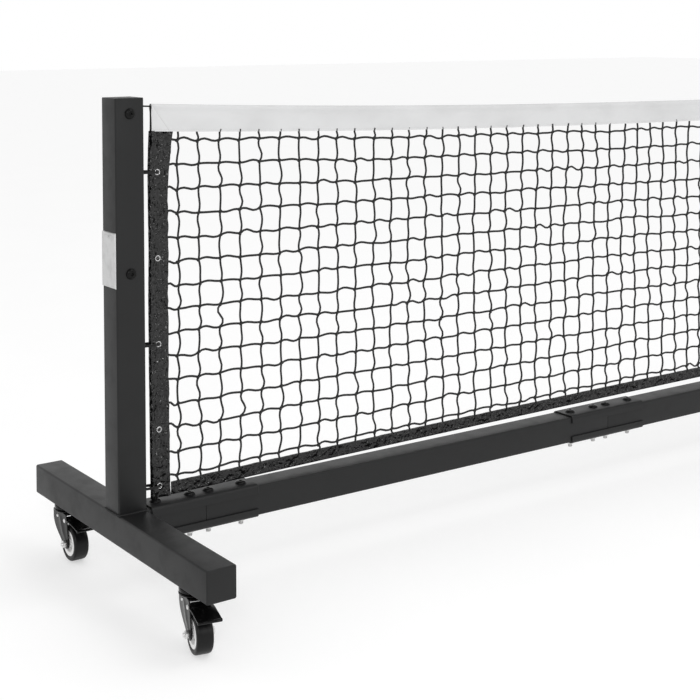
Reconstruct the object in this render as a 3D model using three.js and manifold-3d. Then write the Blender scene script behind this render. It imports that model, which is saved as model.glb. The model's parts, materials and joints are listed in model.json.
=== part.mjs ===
// A portable pickleball net on wheels: two end frames on casters, a bolted base rail between them
// and a net tied between the posts. Millimetres, +Z up, the net runs along X, -Y is the front.
// The origin is on the floor, below the middle of the net.
import * as THREE from "three";
import { mergeVertices } from "three/addons/utils/BufferGeometryUtils.js";
import Module from "manifold-3d";

const wasm = await Module();
wasm.setup();

// Driving sizes: frame
const OVERALL_WIDTH = 6705.6; // outside to outside of the end frames, 22 ft
const TUBE = 57.15; // square tube, 2 1/4 in
const TUBE_WALL = 3;
const TUBE_CORNER = 3.5;
const POST_TOP = 919.5;
const FOOT_LENGTH = 700;
const STUB_BARE = 9.05; // foot's inner face to the first splice
const RAIL_COUNT = 6;
const SEAM_GAP = 0.6;

// Driving sizes: rail splices and fasteners
const SPLICE_LENGTH = 228.6;
const SPLICE_SHEET = 3;
const SPLICE_LIP = 17; // height of a channel's lip, sheet included
const SPLICE_BOLT_OFFSETS = [-92, -20, 20, 92]; // from the seam
const BOLT_RADIUS = 5;
const BOLT_HEAD_RADIUS = 11;
const BOLT_HEAD_HEIGHT = 5;
const BOLT_END = 8; // thread showing below the nut
const NUT_ACROSS_FLATS = 17;
const NUT_HEIGHT = 8.4;
const POST_BOLT_HEIGHTS = [891, 601];
const POST_BOLT_RADIUS = 4;
const POST_BOLT_HEAD_RADIUS = 10;
const POST_BOLT_HEAD_HEIGHT = 5;

// Driving sizes: identification plate
const PLATE_WIDTH = 54;
const PLATE_HEIGHT = 101;
const PLATE_THICKNESS = 2;
const PLATE_CENTRE_HEIGHT = 626;
const PLATE_CORNER = 4;
const RIVET_RADIUS = 3;
const RIVET_HEIGHT = 1.5;
const RIVET_INSET = 9; // rivet centre to the plate's end

// Driving sizes: net
const NET_MARGIN = 24.85; // post's inner face to the edge of the net
const NET_END_TOP = 906.5;
const NET_CENTRE_TOP = 861.5;
const NET_END_LIFT = 21; // top of the rail to the middle of the bottom band, beside the posts
const NET_CENTRE_LIFT = 34;
const SAG_POWER = 3.7;
const TAPE_HEIGHT = 51;
const TAPE_THICKNESS = 3.2;
const TAPE_FOLD_RADIUS = 5;
const HEADLINE_RADIUS = 2.5;
const HEADLINE_HOLE_RADIUS = 4;
const BOTTOM_BAND_HEIGHT = 24;
const BOTTOM_BAND_THICKNESS = 4;
const MESH_THICKNESS = 2;
const SIDE_BAND_WIDTH = 40;
const SIDE_BAND_THICKNESS = 2.4;
const SLEEVE_RADIUS = 6;
const DOWEL_RADIUS = 3.5;
const GROMMET_HOLE_RADIUS = 4.5;
const GROMMET_HEIGHTS = [779.5, 619.5, 459.5, 299.5];
const LOW_GROMMET_LIFT = 10; // middle of the bottom band to the lowest grommet
const GROMMET_INSET = 18; // net edge to the grommets' centre line
const TIE_RADIUS = 1.5;
const TIE_STEPS = 28;
const EYE_REACH = 13;
const EYE_HEIGHT = 14;
const EYE_THICKNESS = 3;
const EYE_HOLE_RADIUS = 3.5;
const EYE_HOLE_REACH = 7; // post face to the centre of the eye's hole

// Driving sizes: casters
const WHEEL_RADIUS = 35;
const WHEEL_TO_FOOT = 35.35; // top of the wheel to the foot above it
const TYRE_WIDTH = 30;
const TYRE_DEPTH = 9.5; // tread to the hub
const HUB_WIDTH = 25;
const HUB_WEB = 9;
const HUB_BOSS_RADIUS = 9;
const CASTER_SPREAD = 257; // middle of the foot to a swivel axis
const CASTER_TRAIL = 30; // swivel axis to the wheel's axle
const AXLE_RADIUS = 4;
const FORK_INSIDE = 33;
const FORK_SHEET = 2.5;
const FORK_BOSS_RADIUS = 10;
const CROWN_BACK = 28;
const CROWN_FRONT = 29;
const CROWN_THICKNESS = 3;
const RACEWAY_RADIUS = 26;
const RACEWAY_HEIGHT = 5;
const CAP_RADIUS = 22;
const CAP_HEIGHT = 8;
const STEM_RADIUS = 6;
const STEM_REACH = 22; // stem standing inside the foot
const KINGPIN_RADIUS = 5;
const KINGPIN_HEAD_RADIUS = 9;
const KINGPIN_HEAD_HEIGHT = 3.5;
const PEDAL_WIDTH = 42;
const PEDAL_SHEET = 2.5;
const PEDAL_PIVOT_BACK = 24; // swivel axis to the pedal's pin
const PEDAL_PIVOT_LIFT = 8.5; // top of the wheel to the pedal's pin
const PEDAL_PIN_RADIUS = 2.5;
const PEDAL_START = 42;
const PEDAL_TIP = 87;
const PEDAL_TIP_LIFT = 4.5;
const CASTER_TURNS = { left_front: -12, left_back: 0, right_front: 12, right_back: 5 }; // degrees

// Clearances
const GAP = 0.3; // between pieces that touch
const HOLE_CLEARANCE = 0.5; // radial, bolt to hole
const PIN_CLEARANCE = 0.4; // radial, pin to its hole
const TIP_OVERLAP = 1; // how far joined solids reach into each other

// Places that follow from the sizes
const HALF_WIDTH = OVERALL_WIDTH / 2;
const STUB_SEAM = TUBE + STUB_BARE + SPLICE_LENGTH / 2; // foot's outer face to the first rail seam
const RAIL_PITCH = (OVERALL_WIDTH - 2 * STUB_SEAM) / RAIL_COUNT;
const FOOT_BOTTOM = 2 * WHEEL_RADIUS + WHEEL_TO_FOOT;
const TUBE_CENTRE_HEIGHT = FOOT_BOTTOM + TUBE / 2;
const FRAME_TOP = FOOT_BOTTOM + TUBE; // top of the feet and of the base rail
const NET_EDGE = TUBE + NET_MARGIN; // outer face of the frame to the edge of the net
const NET_END_FOOT = FRAME_TOP + NET_END_LIFT;
const NET_CENTRE_FOOT = FRAME_TOP + NET_CENTRE_LIFT;
const LOW_GROMMET = NET_END_FOOT + LOW_GROMMET_LIFT;
const TIED_HEIGHTS = { top: GROMMET_HEIGHTS[0], middle: GROMMET_HEIGHTS[2], bottom: LOW_GROMMET };
const HUB_RADIUS = WHEEL_RADIUS - TYRE_DEPTH;
const PEDAL_PIVOT_HEIGHT = 2 * WHEEL_RADIUS + PEDAL_PIVOT_LIFT;
const PEDAL_TIP_HEIGHT = 2 * WHEEL_RADIUS + PEDAL_TIP_LIFT;

const finishes = {
  frame: { color: 0x3c3c3e, roughness: 0.5, metalness: 0.2 },
  plate: { color: 0xc5c6c8, roughness: 0.35, metalness: 0.8 },
  caster: { color: 0x1b1b1c, roughness: 0.3, metalness: 0.3 },
  tyre: { color: 0x202020, roughness: 0.75, metalness: 0 },
  hub: { color: 0xd9d9d6, roughness: 0.45, metalness: 0 },
  steel: { color: 0xb8b8b8, roughness: 0.3, metalness: 0.9 },
  tape: { color: 0xdadada, roughness: 0.55, metalness: 0 },
  band: { color: 0x1c1c1d, roughness: 0.3, metalness: 0 },
  twine: { color: 0x262626, roughness: 0.9, metalness: 0 },
};

// Solids: join and cut closed geometries.
function solidOf(geometry) {
  const loose = geometry.index ? geometry.toNonIndexed() : geometry;
  const bare = new THREE.BufferGeometry().setAttribute("position", loose.getAttribute("position"));
  const merged = mergeVertices(bare);
  const vertProperties = merged.attributes.position.array;
  const triVerts = new Uint32Array(merged.index.array);
  return new wasm.Manifold(new wasm.Mesh({ numProp: 3, vertProperties, triVerts }));
}

function geometryOf(solid) {
  const mesh = solid.getMesh();
  const geometry = new THREE.BufferGeometry();
  geometry.setAttribute("position", new THREE.BufferAttribute(mesh.vertProperties, 3));
  geometry.setIndex(new THREE.BufferAttribute(mesh.triVerts, 1));
  return geometry;
}

function join(...geometries) {
  return geometryOf(geometries.map(solidOf).reduce((whole, piece) => whole.add(piece)));
}

function cut(body, ...tools) {
  return geometryOf(tools.map(solidOf).reduce((rest, tool) => rest.subtract(tool), solidOf(body)));
}

// Outlines: lists of points, anticlockwise.
function roundedOutline(width, height, radius, cornerSteps = 2) {
  const corners = [[1, -1, -90], [1, 1, 0], [-1, 1, 90], [-1, -1, 180]];
  return corners.flatMap(([sideX, sideY, start]) => {
    const centre = new THREE.Vector2(sideX * (width / 2 - radius), sideY * (height / 2 - radius));
    return arc(centre, radius, start, start + 90, cornerSteps);
  });
}

function arc(centre, radius, fromDegrees, toDegrees, steps) {
  return Array.from({ length: steps + 1 }, (_, i) => {
    const angle = THREE.MathUtils.degToRad(fromDegrees + ((toDegrees - fromDegrees) * i) / steps);
    return new THREE.Vector2(Math.cos(angle), Math.sin(angle)).multiplyScalar(radius).add(centre);
  });
}

function circle(radius, sides, centre = new THREE.Vector2()) {
  return arc(centre, radius, 0, 360 - 360 / sides, sides - 1);
}

function extrude(outline, length, holes = [], steps = 1) {
  const shape = new THREE.Shape(outline);
  shape.holes = holes.map((hole) => new THREE.Path(hole));
  return new THREE.ExtrudeGeometry(shape, { depth: length, steps, bevelEnabled: false });
}

// Turn an extrusion so that its length runs along X (section in Y and Z) or Y (section in X and Z).
function alongX(geometry) {
  const y = new THREE.Vector3(0, 1, 0);
  const z = new THREE.Vector3(0, 0, 1);
  return geometry.applyMatrix4(new THREE.Matrix4().makeBasis(y, z, new THREE.Vector3(1, 0, 0)));
}

function alongY(geometry) {
  const x = new THREE.Vector3(-1, 0, 0);
  const z = new THREE.Vector3(0, 0, 1);
  return geometry.applyMatrix4(new THREE.Matrix4().makeBasis(x, z, new THREE.Vector3(0, 1, 0)));
}

// A round bar between two heights, or between two places along X or Y, centred on the axis.
function barZ(radius, from, to, sides = 8) {
  return extrude(circle(radius, sides), to - from).translate(0, 0, from);
}

function barX(radius, from, to, sides = 8) {
  return alongX(extrude(circle(radius, sides), to - from)).translate(from, 0, 0);
}

function barY(radius, from, to, sides = 8) {
  return alongY(extrude(circle(radius, sides), to - from)).translate(0, from, 0);
}

function hexagonZ(acrossFlats, from, to) {
  return barZ(acrossFlats / 2 / Math.cos(Math.PI / 6), from, to, 6);
}

function hexagonX(acrossFlats, from, to) {
  return barX(acrossFlats / 2 / Math.cos(Math.PI / 6), from, to, 6);
}

// A closed profile of [radius, height] points turned about X; heights become places along X.
function turnedX(profile, sides) {
  const points = profile.map(([radius, along]) => new THREE.Vector2(radius, along));
  return new THREE.LatheGeometry(points, sides).rotateZ(-Math.PI / 2);
}

// A domed head: profile on the axis, turned about Z, standing on height 0.
function domedHead(radius, height, sides = 10) {
  const shares = [[0, 0], [1, 0], [0.95, 0.35], [0.6, 0.85], [0, 1]];
  const points = shares.map(([across, up]) => new THREE.Vector2(across * radius, up * height));
  return new THREE.LatheGeometry(points, sides).rotateX(Math.PI / 2);
}

function mesh(name, geometry, finish) {
  const material = new THREE.MeshStandardMaterial({ ...finishes[finish], flatShading: true });
  const part = new THREE.Mesh(geometry, material);
  part.name = name;
  return part;
}

const tubeOutline = roundedOutline(TUBE, TUBE, TUBE_CORNER);
const tubeBore = roundedOutline(TUBE - 2 * TUBE_WALL, TUBE - 2 * TUBE_WALL, TUBE_CORNER - TUBE_WALL);

// Vertical holes through a tube that lies along X, at the given places.
function splicedTube(from, to, holePlaces) {
  const tube = alongX(extrude(tubeOutline, to - from, [tubeBore])).translate(from, 0, 0);
  const holes = holePlaces.map((x) => barZ(BOLT_RADIUS + HOLE_CLEARANCE, -TUBE, TUBE).translate(x, 0, 0));
  return { tube, holes };
}

// End frames, drawn for the left end with X measured inwards from the outer face.
function foot() {
  const half = FOOT_LENGTH / 2;
  const block = alongY(extrude(tubeOutline, FOOT_LENGTH)).translate(0, -half, 0);
  const hollow = alongY(extrude(tubeBore, FOOT_LENGTH - 2 * TUBE_WALL)).translate(0, -half + TUBE_WALL, 0);
  const holePlaces = SPLICE_BOLT_OFFSETS.filter((x) => x < 0).map((x) => x + STUB_SEAM - TUBE / 2);
  const stubStart = TUBE / 2 - TUBE_WALL + GAP;
  const stub = splicedTube(stubStart, STUB_SEAM - SEAM_GAP / 2 - TUBE / 2, holePlaces);
  const stemHoles = [-1, 1].map((side) =>
    barZ(STEM_RADIUS + HOLE_CLEARANCE, -TUBE, 0, 12).translate(0, side * CASTER_SPREAD, 0),
  );
  return cut(join(cut(block, hollow), stub.tube), ...stub.holes, ...stemHoles)
    .translate(TUBE / 2, 0, TUBE_CENTRE_HEIGHT);
}

// An eye welded to the post's inner face: a flat lug with a hole along Y for a tie.
function tieEye(height) {
  const lug = roundedOutline(EYE_REACH + TIP_OVERLAP, EYE_HEIGHT, TIP_OVERLAP * 3);
  const plate = alongY(extrude(lug, EYE_THICKNESS)).translate(0, -EYE_THICKNESS / 2, 0);
  const hole = barY(EYE_HOLE_RADIUS, -EYE_THICKNESS, EYE_THICKNESS);
  hole.translate(EYE_HOLE_REACH - (EYE_REACH - TIP_OVERLAP) / 2, 0, 0);
  return cut(plate, hole).translate(TUBE / 2 + (EYE_REACH - TIP_OVERLAP) / 2, 0, height);
}

function postBolt(height) {
  const head = domedHead(POST_BOLT_HEAD_RADIUS, POST_BOLT_HEAD_HEIGHT).rotateX(Math.PI / 2);
  const shank = barY(POST_BOLT_RADIUS, -TUBE / 2 - TIP_OVERLAP, TUBE / 2 + TIP_OVERLAP);
  head.translate(0, -TUBE / 2, 0);
  return [head.translate(0, 0, height), shank.translate(0, 0, height)];
}

function post() {
  const height = POST_TOP - FRAME_TOP - GAP;
  const block = extrude(tubeOutline, height).translate(0, 0, FRAME_TOP + GAP);
  const hollow = extrude(tubeBore, height).translate(0, 0, FRAME_TOP + GAP - TUBE_WALL);
  const cordHole = barX(HEADLINE_HOLE_RADIUS, 0, TUBE).translate(0, 0, headlineHeight(HALF_WIDTH - TUBE));
  const shell = cut(block, hollow, cordHole);
  return join(shell, ...Object.values(TIED_HEIGHTS).map(tieEye), ...POST_BOLT_HEIGHTS.flatMap(postBolt))
    .translate(TUBE / 2, 0, 0);
}

// A thin plate on the post's outer face, glued down and held by one rivet near its top.
function identificationPlate() {
  const plate = alongX(extrude(roundedOutline(PLATE_WIDTH, PLATE_HEIGHT, PLATE_CORNER), PLATE_THICKNESS));
  const rivet = barX(RIVET_RADIUS, -RIVET_HEIGHT, TIP_OVERLAP, 12);
  rivet.translate(0, 0, PLATE_HEIGHT / 2 - RIVET_INSET);
  return join(plate, rivet).translate(-PLATE_THICKNESS - GAP, 0, PLATE_CENTRE_HEIGHT);
}

// Base rail: section i runs from seam i to seam i + 1.
function seamPlace(i) {
  return -HALF_WIDTH + STUB_SEAM + i * RAIL_PITCH;
}

function rail(i) {
  const from = seamPlace(i) + SEAM_GAP / 2;
  const to = seamPlace(i + 1) - SEAM_GAP / 2;
  const nearStart = SPLICE_BOLT_OFFSETS.filter((x) => x > 0).map((x) => seamPlace(i) + x);
  const nearEnd = SPLICE_BOLT_OFFSETS.filter((x) => x < 0).map((x) => seamPlace(i + 1) + x);
  const section = splicedTube(from, to, [...nearStart, ...nearEnd]);
  return cut(section.tube, ...section.holes).translate(0, 0, TUBE_CENTRE_HEIGHT);
}

// Splice channels: pressed sheet folded over the top or bottom of the rail.
const CHANNEL_INSIDE = TUBE / 2 + GAP;
const CHANNEL_OUTSIDE = CHANNEL_INSIDE + SPLICE_SHEET;

function channel() {
  const lipEnd = CHANNEL_OUTSIDE - SPLICE_LIP;
  const innerRadius = TUBE_CORNER + GAP;
  const bend = (side, outer, radius) => {
    const centre = new THREE.Vector2(side * (outer - radius), outer - radius);
    return arc(centre, radius, side > 0 ? 0 : 90, side > 0 ? 90 : 180, 2);
  };
  const outer = [1, -1].flatMap((side) => bend(side, CHANNEL_OUTSIDE, innerRadius + SPLICE_SHEET));
  const inner = [1, -1].flatMap((side) => bend(side, CHANNEL_INSIDE, innerRadius));
  const outline = [
    new THREE.Vector2(CHANNEL_OUTSIDE, lipEnd),
    ...outer,
    new THREE.Vector2(-CHANNEL_OUTSIDE, lipEnd),
    new THREE.Vector2(-CHANNEL_INSIDE, lipEnd),
    ...inner.reverse(),
    new THREE.Vector2(CHANNEL_INSIDE, lipEnd),
  ];
  return alongX(extrude(outline, SPLICE_LENGTH)).translate(-SPLICE_LENGTH / 2, 0, 0);
}

function spliceTop(seam) {
  const low = -CHANNEL_OUTSIDE - NUT_HEIGHT - BOLT_END;
  const headFoot = CHANNEL_OUTSIDE - TIP_OVERLAP;
  const bolts = SPLICE_BOLT_OFFSETS.flatMap((x) => [
    domedHead(BOLT_HEAD_RADIUS, BOLT_HEAD_HEIGHT + TIP_OVERLAP).translate(x, 0, headFoot),
    barZ(BOLT_RADIUS, low, CHANNEL_OUTSIDE).translate(x, 0, 0),
  ]);
  return join(channel(), ...bolts).translate(seam, 0, TUBE_CENTRE_HEIGHT);
}

function spliceBottom(seam) {
  const nutTop = TIP_OVERLAP - CHANNEL_OUTSIDE;
  const nuts = SPLICE_BOLT_OFFSETS.map((x) =>
    hexagonZ(NUT_ACROSS_FLATS, -CHANNEL_OUTSIDE - NUT_HEIGHT, nutTop).translate(x, 0, 0),
  );
  const holes = SPLICE_BOLT_OFFSETS.map((x) =>
    barZ(BOLT_RADIUS + PIN_CLEARANCE, -TUBE, 0).translate(x, 0, 0),
  );
  const sheet = channel().rotateX(Math.PI);
  return cut(join(sheet, ...nuts), ...holes).translate(seam, 0, TUBE_CENTRE_HEIGHT);
}

// Net lines: heights along X, level beside the posts and lowest (or highest) at the middle.
const NET_HALF = HALF_WIDTH - NET_EDGE;
const NET_STEPS = 36;

function rise(x) {
  return (Math.abs(x) / NET_HALF) ** SAG_POWER;
}

function netTop(x) {
  return THREE.MathUtils.lerp(NET_CENTRE_TOP, NET_END_TOP, rise(x));
}

function netFoot(x) {
  return THREE.MathUtils.lerp(NET_CENTRE_FOOT, NET_END_FOOT, rise(x));
}

function headlineHeight(x) {
  return netTop(x) - TAPE_FOLD_RADIUS;
}

// Raise every point of a piece made straight along X to a height line.
function followLine(geometry, line) {
  const position = geometry.getAttribute("position");
  for (let i = 0; i < position.count; i++) {
    position.setZ(i, position.getZ(i) + line(position.getX(i)));
  }
  return geometry;
}

// A flat upright strip between two height lines.
function netStrip(halfLength, thickness, lower, upper) {
  const strip = new THREE.BoxGeometry(2 * halfLength, thickness, 1, NET_STEPS, 1, 1).translate(0, 0, 0.5);
  const position = strip.getAttribute("position");
  for (let i = 0; i < position.count; i++) {
    const x = position.getX(i);
    position.setZ(i, THREE.MathUtils.lerp(lower(x), upper(x), position.getZ(i)));
  }
  return strip;
}

// The white tape folded over the headline cord, stitched below it.
function topTape() {
  const shoulder = TAPE_THICKNESS / 2;
  const turn = THREE.MathUtils.radToDeg(Math.asin(shoulder / TAPE_FOLD_RADIUS));
  const fold = arc(new THREE.Vector2(0, -TAPE_FOLD_RADIUS), TAPE_FOLD_RADIUS, turn - 90, 270 - turn, 10);
  const outline = [
    ...fold,
    new THREE.Vector2(-shoulder, -TAPE_HEIGHT),
    new THREE.Vector2(shoulder, -TAPE_HEIGHT),
  ];
  const bore = circle(HEADLINE_RADIUS + GAP, 8, new THREE.Vector2(0, -TAPE_FOLD_RADIUS));
  const tape = alongX(extrude(outline, 2 * NET_HALF, [bore], NET_STEPS)).translate(-NET_HALF, 0, 0);
  return followLine(tape, netTop);
}

// The cord in the tape, ending in a knot inside each post.
function headlineCord() {
  const knotPlace = HALF_WIDTH - TUBE / 2 - TUBE_WALL;
  const knotRadius = HEADLINE_RADIUS * 2;
  const length = 2 * knotPlace;
  const cord = alongX(extrude(circle(HEADLINE_RADIUS, 8), length, [], NET_STEPS)).translate(-knotPlace, 0, 0);
  const knots = [-1, 1].map((side) =>
    new THREE.SphereGeometry(knotRadius, 8, 6).translate(side * knotPlace, 0, headlineHeight(knotPlace)),
  );
  return join(followLine(cord, headlineHeight), ...knots);
}

// Side band, drawn for the left end: a sleeve for the dowel and a flat strip towards the net.
const SLEEVE_PLACE = NET_EDGE + SLEEVE_RADIUS;
const SIDE_BAND_INNER = NET_EDGE + SIDE_BAND_WIDTH;
const SIDE_BAND_TOP = netTop(HALF_WIDTH - SIDE_BAND_INNER) - TAPE_HEIGHT - GAP;
const SIDE_BAND_FOOT = NET_END_FOOT - BOTTOM_BAND_HEIGHT / 2;

function sideBand() {
  const half = SIDE_BAND_THICKNESS / 2;
  const turn = THREE.MathUtils.radToDeg(Math.asin(half / SLEEVE_RADIUS));
  const outline = [
    ...arc(new THREE.Vector2(), SLEEVE_RADIUS, turn, 360 - turn, 10),
    new THREE.Vector2(SIDE_BAND_WIDTH - SLEEVE_RADIUS, -half),
    new THREE.Vector2(SIDE_BAND_WIDTH - SLEEVE_RADIUS, half),
  ];
  const band = extrude(outline, SIDE_BAND_TOP - SIDE_BAND_FOOT, [circle(DOWEL_RADIUS + PIN_CLEARANCE, 8)]);
  const holes = [...GROMMET_HEIGHTS, LOW_GROMMET].map((height) =>
    barY(GROMMET_HOLE_RADIUS, -TUBE, TUBE).translate(GROMMET_INSET - SLEEVE_RADIUS, 0, height),
  );
  return cut(band.translate(0, 0, SIDE_BAND_FOOT), ...holes).translate(SLEEVE_PLACE, 0, 0);
}

function netDowel() {
  return barZ(DOWEL_RADIUS, SIDE_BAND_FOOT + GAP, SIDE_BAND_TOP - GAP).translate(SLEEVE_PLACE, 0, 0);
}

// A tie: through the eye on the post, past the sleeve, through a grommet and back, ends left free.
function netTie(height) {
  const eye = TUBE + EYE_HOLE_REACH;
  const grommet = NET_EDGE + GROMMET_INSET;
  const beside = SLEEVE_RADIUS + TIE_RADIUS + 2.5;
  const points = [
    new THREE.Vector3(eye + 9, beside - 1, -14),
    new THREE.Vector3(eye + 5, beside - 1, -5),
    new THREE.Vector3(eye, 6, 0),
    new THREE.Vector3(eye, -6, 0),
    new THREE.Vector3(eye + 8, -beside, 0),
    new THREE.Vector3(SLEEVE_PLACE, -beside, 0),
    new THREE.Vector3(grommet - 2, -7, 0),
    new THREE.Vector3(grommet, 0, 0),
    new THREE.Vector3(grommet - 2, 7, 0),
    new THREE.Vector3(SLEEVE_PLACE, beside, 0),
    new THREE.Vector3(SLEEVE_PLACE - 10, beside, 1),
    new THREE.Vector3(SLEEVE_PLACE - 14, beside, 10),
  ];
  const route = new THREE.CatmullRomCurve3(points, false, "centripetal");
  const section = new THREE.Shape(circle(TIE_RADIUS, 8));
  const cord = new THREE.ExtrudeGeometry(section, { steps: TIE_STEPS, extrudePath: route });
  return cord.translate(0, 0, height);
}

// Casters, drawn with the swivel axis on Z, the floor at 0 and the wheel trailing towards -Y.
const CAP_TOP = FOOT_BOTTOM - GAP;
const CAP_FOOT = CAP_TOP - CAP_HEIGHT;
const CROWN_TOP = CAP_FOOT - GAP - RACEWAY_HEIGHT;
const CROWN_FOOT = CROWN_TOP - CROWN_THICKNESS;
const FORK_OUTSIDE = FORK_INSIDE / 2 + FORK_SHEET;

function casterStem() {
  const headTop = CROWN_FOOT - GAP;
  return join(
    barZ(STEM_RADIUS, CAP_FOOT, FOOT_BOTTOM + TUBE_WALL + STEM_REACH, 12),
    barZ(CAP_RADIUS, CAP_FOOT, CAP_TOP, 20),
    barZ(KINGPIN_RADIUS, headTop - TIP_OVERLAP, CAP_TOP, 12),
    barZ(KINGPIN_HEAD_RADIUS, headTop - KINGPIN_HEAD_HEIGHT, headTop, 12),
  );
}

// One leg of the fork: an outline in Y and Z, wide at the crown and round about the axle.
function forkLeg() {
  const axle = new THREE.Vector2(-CASTER_TRAIL, WHEEL_RADIUS);
  const outline = [
    new THREE.Vector2(CROWN_BACK, CROWN_TOP),
    new THREE.Vector2(-CROWN_FRONT, CROWN_TOP),
    new THREE.Vector2(-CROWN_FRONT - 3, CROWN_TOP - 18),
    ...arc(axle, FORK_BOSS_RADIUS, 175, 335, 7),
    new THREE.Vector2(CROWN_BACK - 22, CROWN_TOP - 34),
    new THREE.Vector2(CROWN_BACK - 6, CROWN_TOP - 18),
  ];
  return alongX(extrude(outline, FORK_SHEET));
}

// The axle bolt, clamped between the fork's legs by its head and nut.
function casterAxle() {
  const start = FORK_OUTSIDE - TIP_OVERLAP;
  const across = 2 * AXLE_RADIUS + 5;
  return [
    barX(AXLE_RADIUS, -start - NUT_HEIGHT, start + TIP_OVERLAP),
    hexagonX(across, TIP_OVERLAP - start - NUT_HEIGHT, -start),
    hexagonX(across, start, start + NUT_HEIGHT - 2 * TIP_OVERLAP),
  ].map((piece) => piece.translate(0, -CASTER_TRAIL, WHEEL_RADIUS));
}

function casterFork() {
  const legs = [FORK_INSIDE / 2, -FORK_OUTSIDE].map((x) => forkLeg().translate(x, 0, 0));
  const crown = new THREE.BoxGeometry(2 * FORK_OUTSIDE, CROWN_BACK + CROWN_FRONT, CROWN_THICKNESS);
  crown.translate(0, (CROWN_BACK - CROWN_FRONT) / 2, CROWN_TOP - CROWN_THICKNESS / 2);
  const raceway = barZ(RACEWAY_RADIUS, CROWN_TOP - TIP_OVERLAP, CROWN_TOP + RACEWAY_HEIGHT, 20);
  const pedalHole = barX(PEDAL_PIN_RADIUS + PIN_CLEARANCE, -TUBE, TUBE);
  return cut(
    join(crown, raceway, ...legs, ...casterAxle()),
    barZ(KINGPIN_RADIUS + PIN_CLEARANCE, CROWN_FOOT - GAP, FOOT_BOTTOM, 12),
    pedalHole.translate(0, -PEDAL_PIVOT_BACK, PEDAL_PIVOT_HEIGHT),
  );
}

function wheelHub() {
  const bore = AXLE_RADIUS + PIN_CLEARANCE;
  const half = HUB_WIDTH / 2;
  const web = HUB_WEB / 2;
  const profile = [
    [bore, -half - 1],
    [HUB_BOSS_RADIUS, -half - 1],
    [HUB_BOSS_RADIUS, -web],
    [HUB_RADIUS - 4, -web],
    [HUB_RADIUS - 3, -half],
    [HUB_RADIUS, -half],
    [HUB_RADIUS, half],
    [HUB_RADIUS - 3, half],
    [HUB_RADIUS - 4, web],
    [HUB_BOSS_RADIUS, web],
    [HUB_BOSS_RADIUS, half + 1],
    [bore, half + 1],
    [bore, -half - 1],
  ];
  return turnedX(profile, 20).translate(0, -CASTER_TRAIL, WHEEL_RADIUS);
}

function tyre() {
  const inner = HUB_RADIUS + GAP;
  const half = TYRE_WIDTH / 2;
  const profile = [
    [inner, -half + 1],
    [WHEEL_RADIUS - 6, -half],
    [WHEEL_RADIUS - 1.5, -half + 3],
    [WHEEL_RADIUS, -half + 8],
    [WHEEL_RADIUS, half - 8],
    [WHEEL_RADIUS - 1.5, half - 3],
    [WHEEL_RADIUS - 6, half],
    [inner, half - 1],
    [inner, -half + 1],
  ];
  return turnedX(profile, 28).translate(0, -CASTER_TRAIL, WHEEL_RADIUS);
}

// The brake pedal: cheeks between the fork's legs, a cross pin, and a wide tread with a rolled lip.
function brakePedal() {
  const cheekOutside = FORK_INSIDE / 2 - 2 * GAP;
  const cheekProfile = [
    new THREE.Vector2(-PEDAL_PIVOT_BACK + 5, PEDAL_PIVOT_HEIGHT + 4),
    new THREE.Vector2(-PEDAL_START - 6, PEDAL_PIVOT_HEIGHT + 4),
    new THREE.Vector2(-PEDAL_START - 6, PEDAL_PIVOT_HEIGHT - 2),
    new THREE.Vector2(-PEDAL_PIVOT_BACK + 5, PEDAL_PIVOT_HEIGHT - 4),
  ];
  const cheeks = [cheekOutside - PEDAL_SHEET, -cheekOutside].map((x) =>
    alongX(extrude(cheekProfile, PEDAL_SHEET)).translate(x, 0, 0),
  );
  const top = PEDAL_PIVOT_HEIGHT + 4;
  const treadProfile = [
    new THREE.Vector2(-PEDAL_START, top),
    new THREE.Vector2(-PEDAL_TIP, PEDAL_TIP_HEIGHT + PEDAL_SHEET),
    new THREE.Vector2(-PEDAL_TIP, PEDAL_TIP_HEIGHT),
    new THREE.Vector2(-PEDAL_START, top - PEDAL_SHEET),
  ];
  const tread = alongX(extrude(treadProfile, PEDAL_WIDTH)).translate(-PEDAL_WIDTH / 2, 0, 0);
  const lip = barX(PEDAL_SHEET, -PEDAL_WIDTH / 2, PEDAL_WIDTH / 2);
  lip.translate(0, -PEDAL_TIP, PEDAL_TIP_HEIGHT);
  const pinHalf = FORK_OUTSIDE + 1.5;
  const pin = barX(PEDAL_PIN_RADIUS, -pinHalf, pinHalf).translate(0, -PEDAL_PIVOT_BACK, PEDAL_PIVOT_HEIGHT);
  return join(...cheeks, tread, lip, pin);
}

function caster(place, sideX, sideY) {
  const group = new THREE.Group();
  group.position.set(sideX * (HALF_WIDTH - TUBE / 2), sideY * CASTER_SPREAD, 0);
  group.rotation.z = THREE.MathUtils.degToRad(CASTER_TURNS[place]);
  group.add(
    mesh(`caster_${place}_stem`, casterStem(), "steel"),
    mesh(`caster_${place}_fork`, casterFork(), "caster"),
    mesh(`caster_${place}_hub`, wheelHub(), "hub"),
    mesh(`caster_${place}_tyre`, tyre(), "tyre"),
    mesh(`caster_${place}_pedal`, brakePedal(), "caster"),
  );
  return group;
}

// One end, drawn from the outer face inwards; the right end is its mirror image.
function endFrame(side, mirror) {
  const group = new THREE.Group();
  group.position.x = -mirror * HALF_WIDTH;
  group.scale.x = mirror;
  group.add(
    mesh(`foot_${side}`, foot(), "frame"),
    mesh(`post_${side}`, post(), "frame"),
    mesh(`name_plate_${side}`, identificationPlate(), "plate"),
    mesh(`side_band_${side}`, sideBand(), "band"),
    mesh(`net_dowel_${side}`, netDowel(), "band"),
    ...Object.entries(TIED_HEIGHTS).map(([place, height]) =>
      mesh(`net_tie_${side}_${place}`, netTie(height), "twine"),
    ),
  );
  return group;
}

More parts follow.
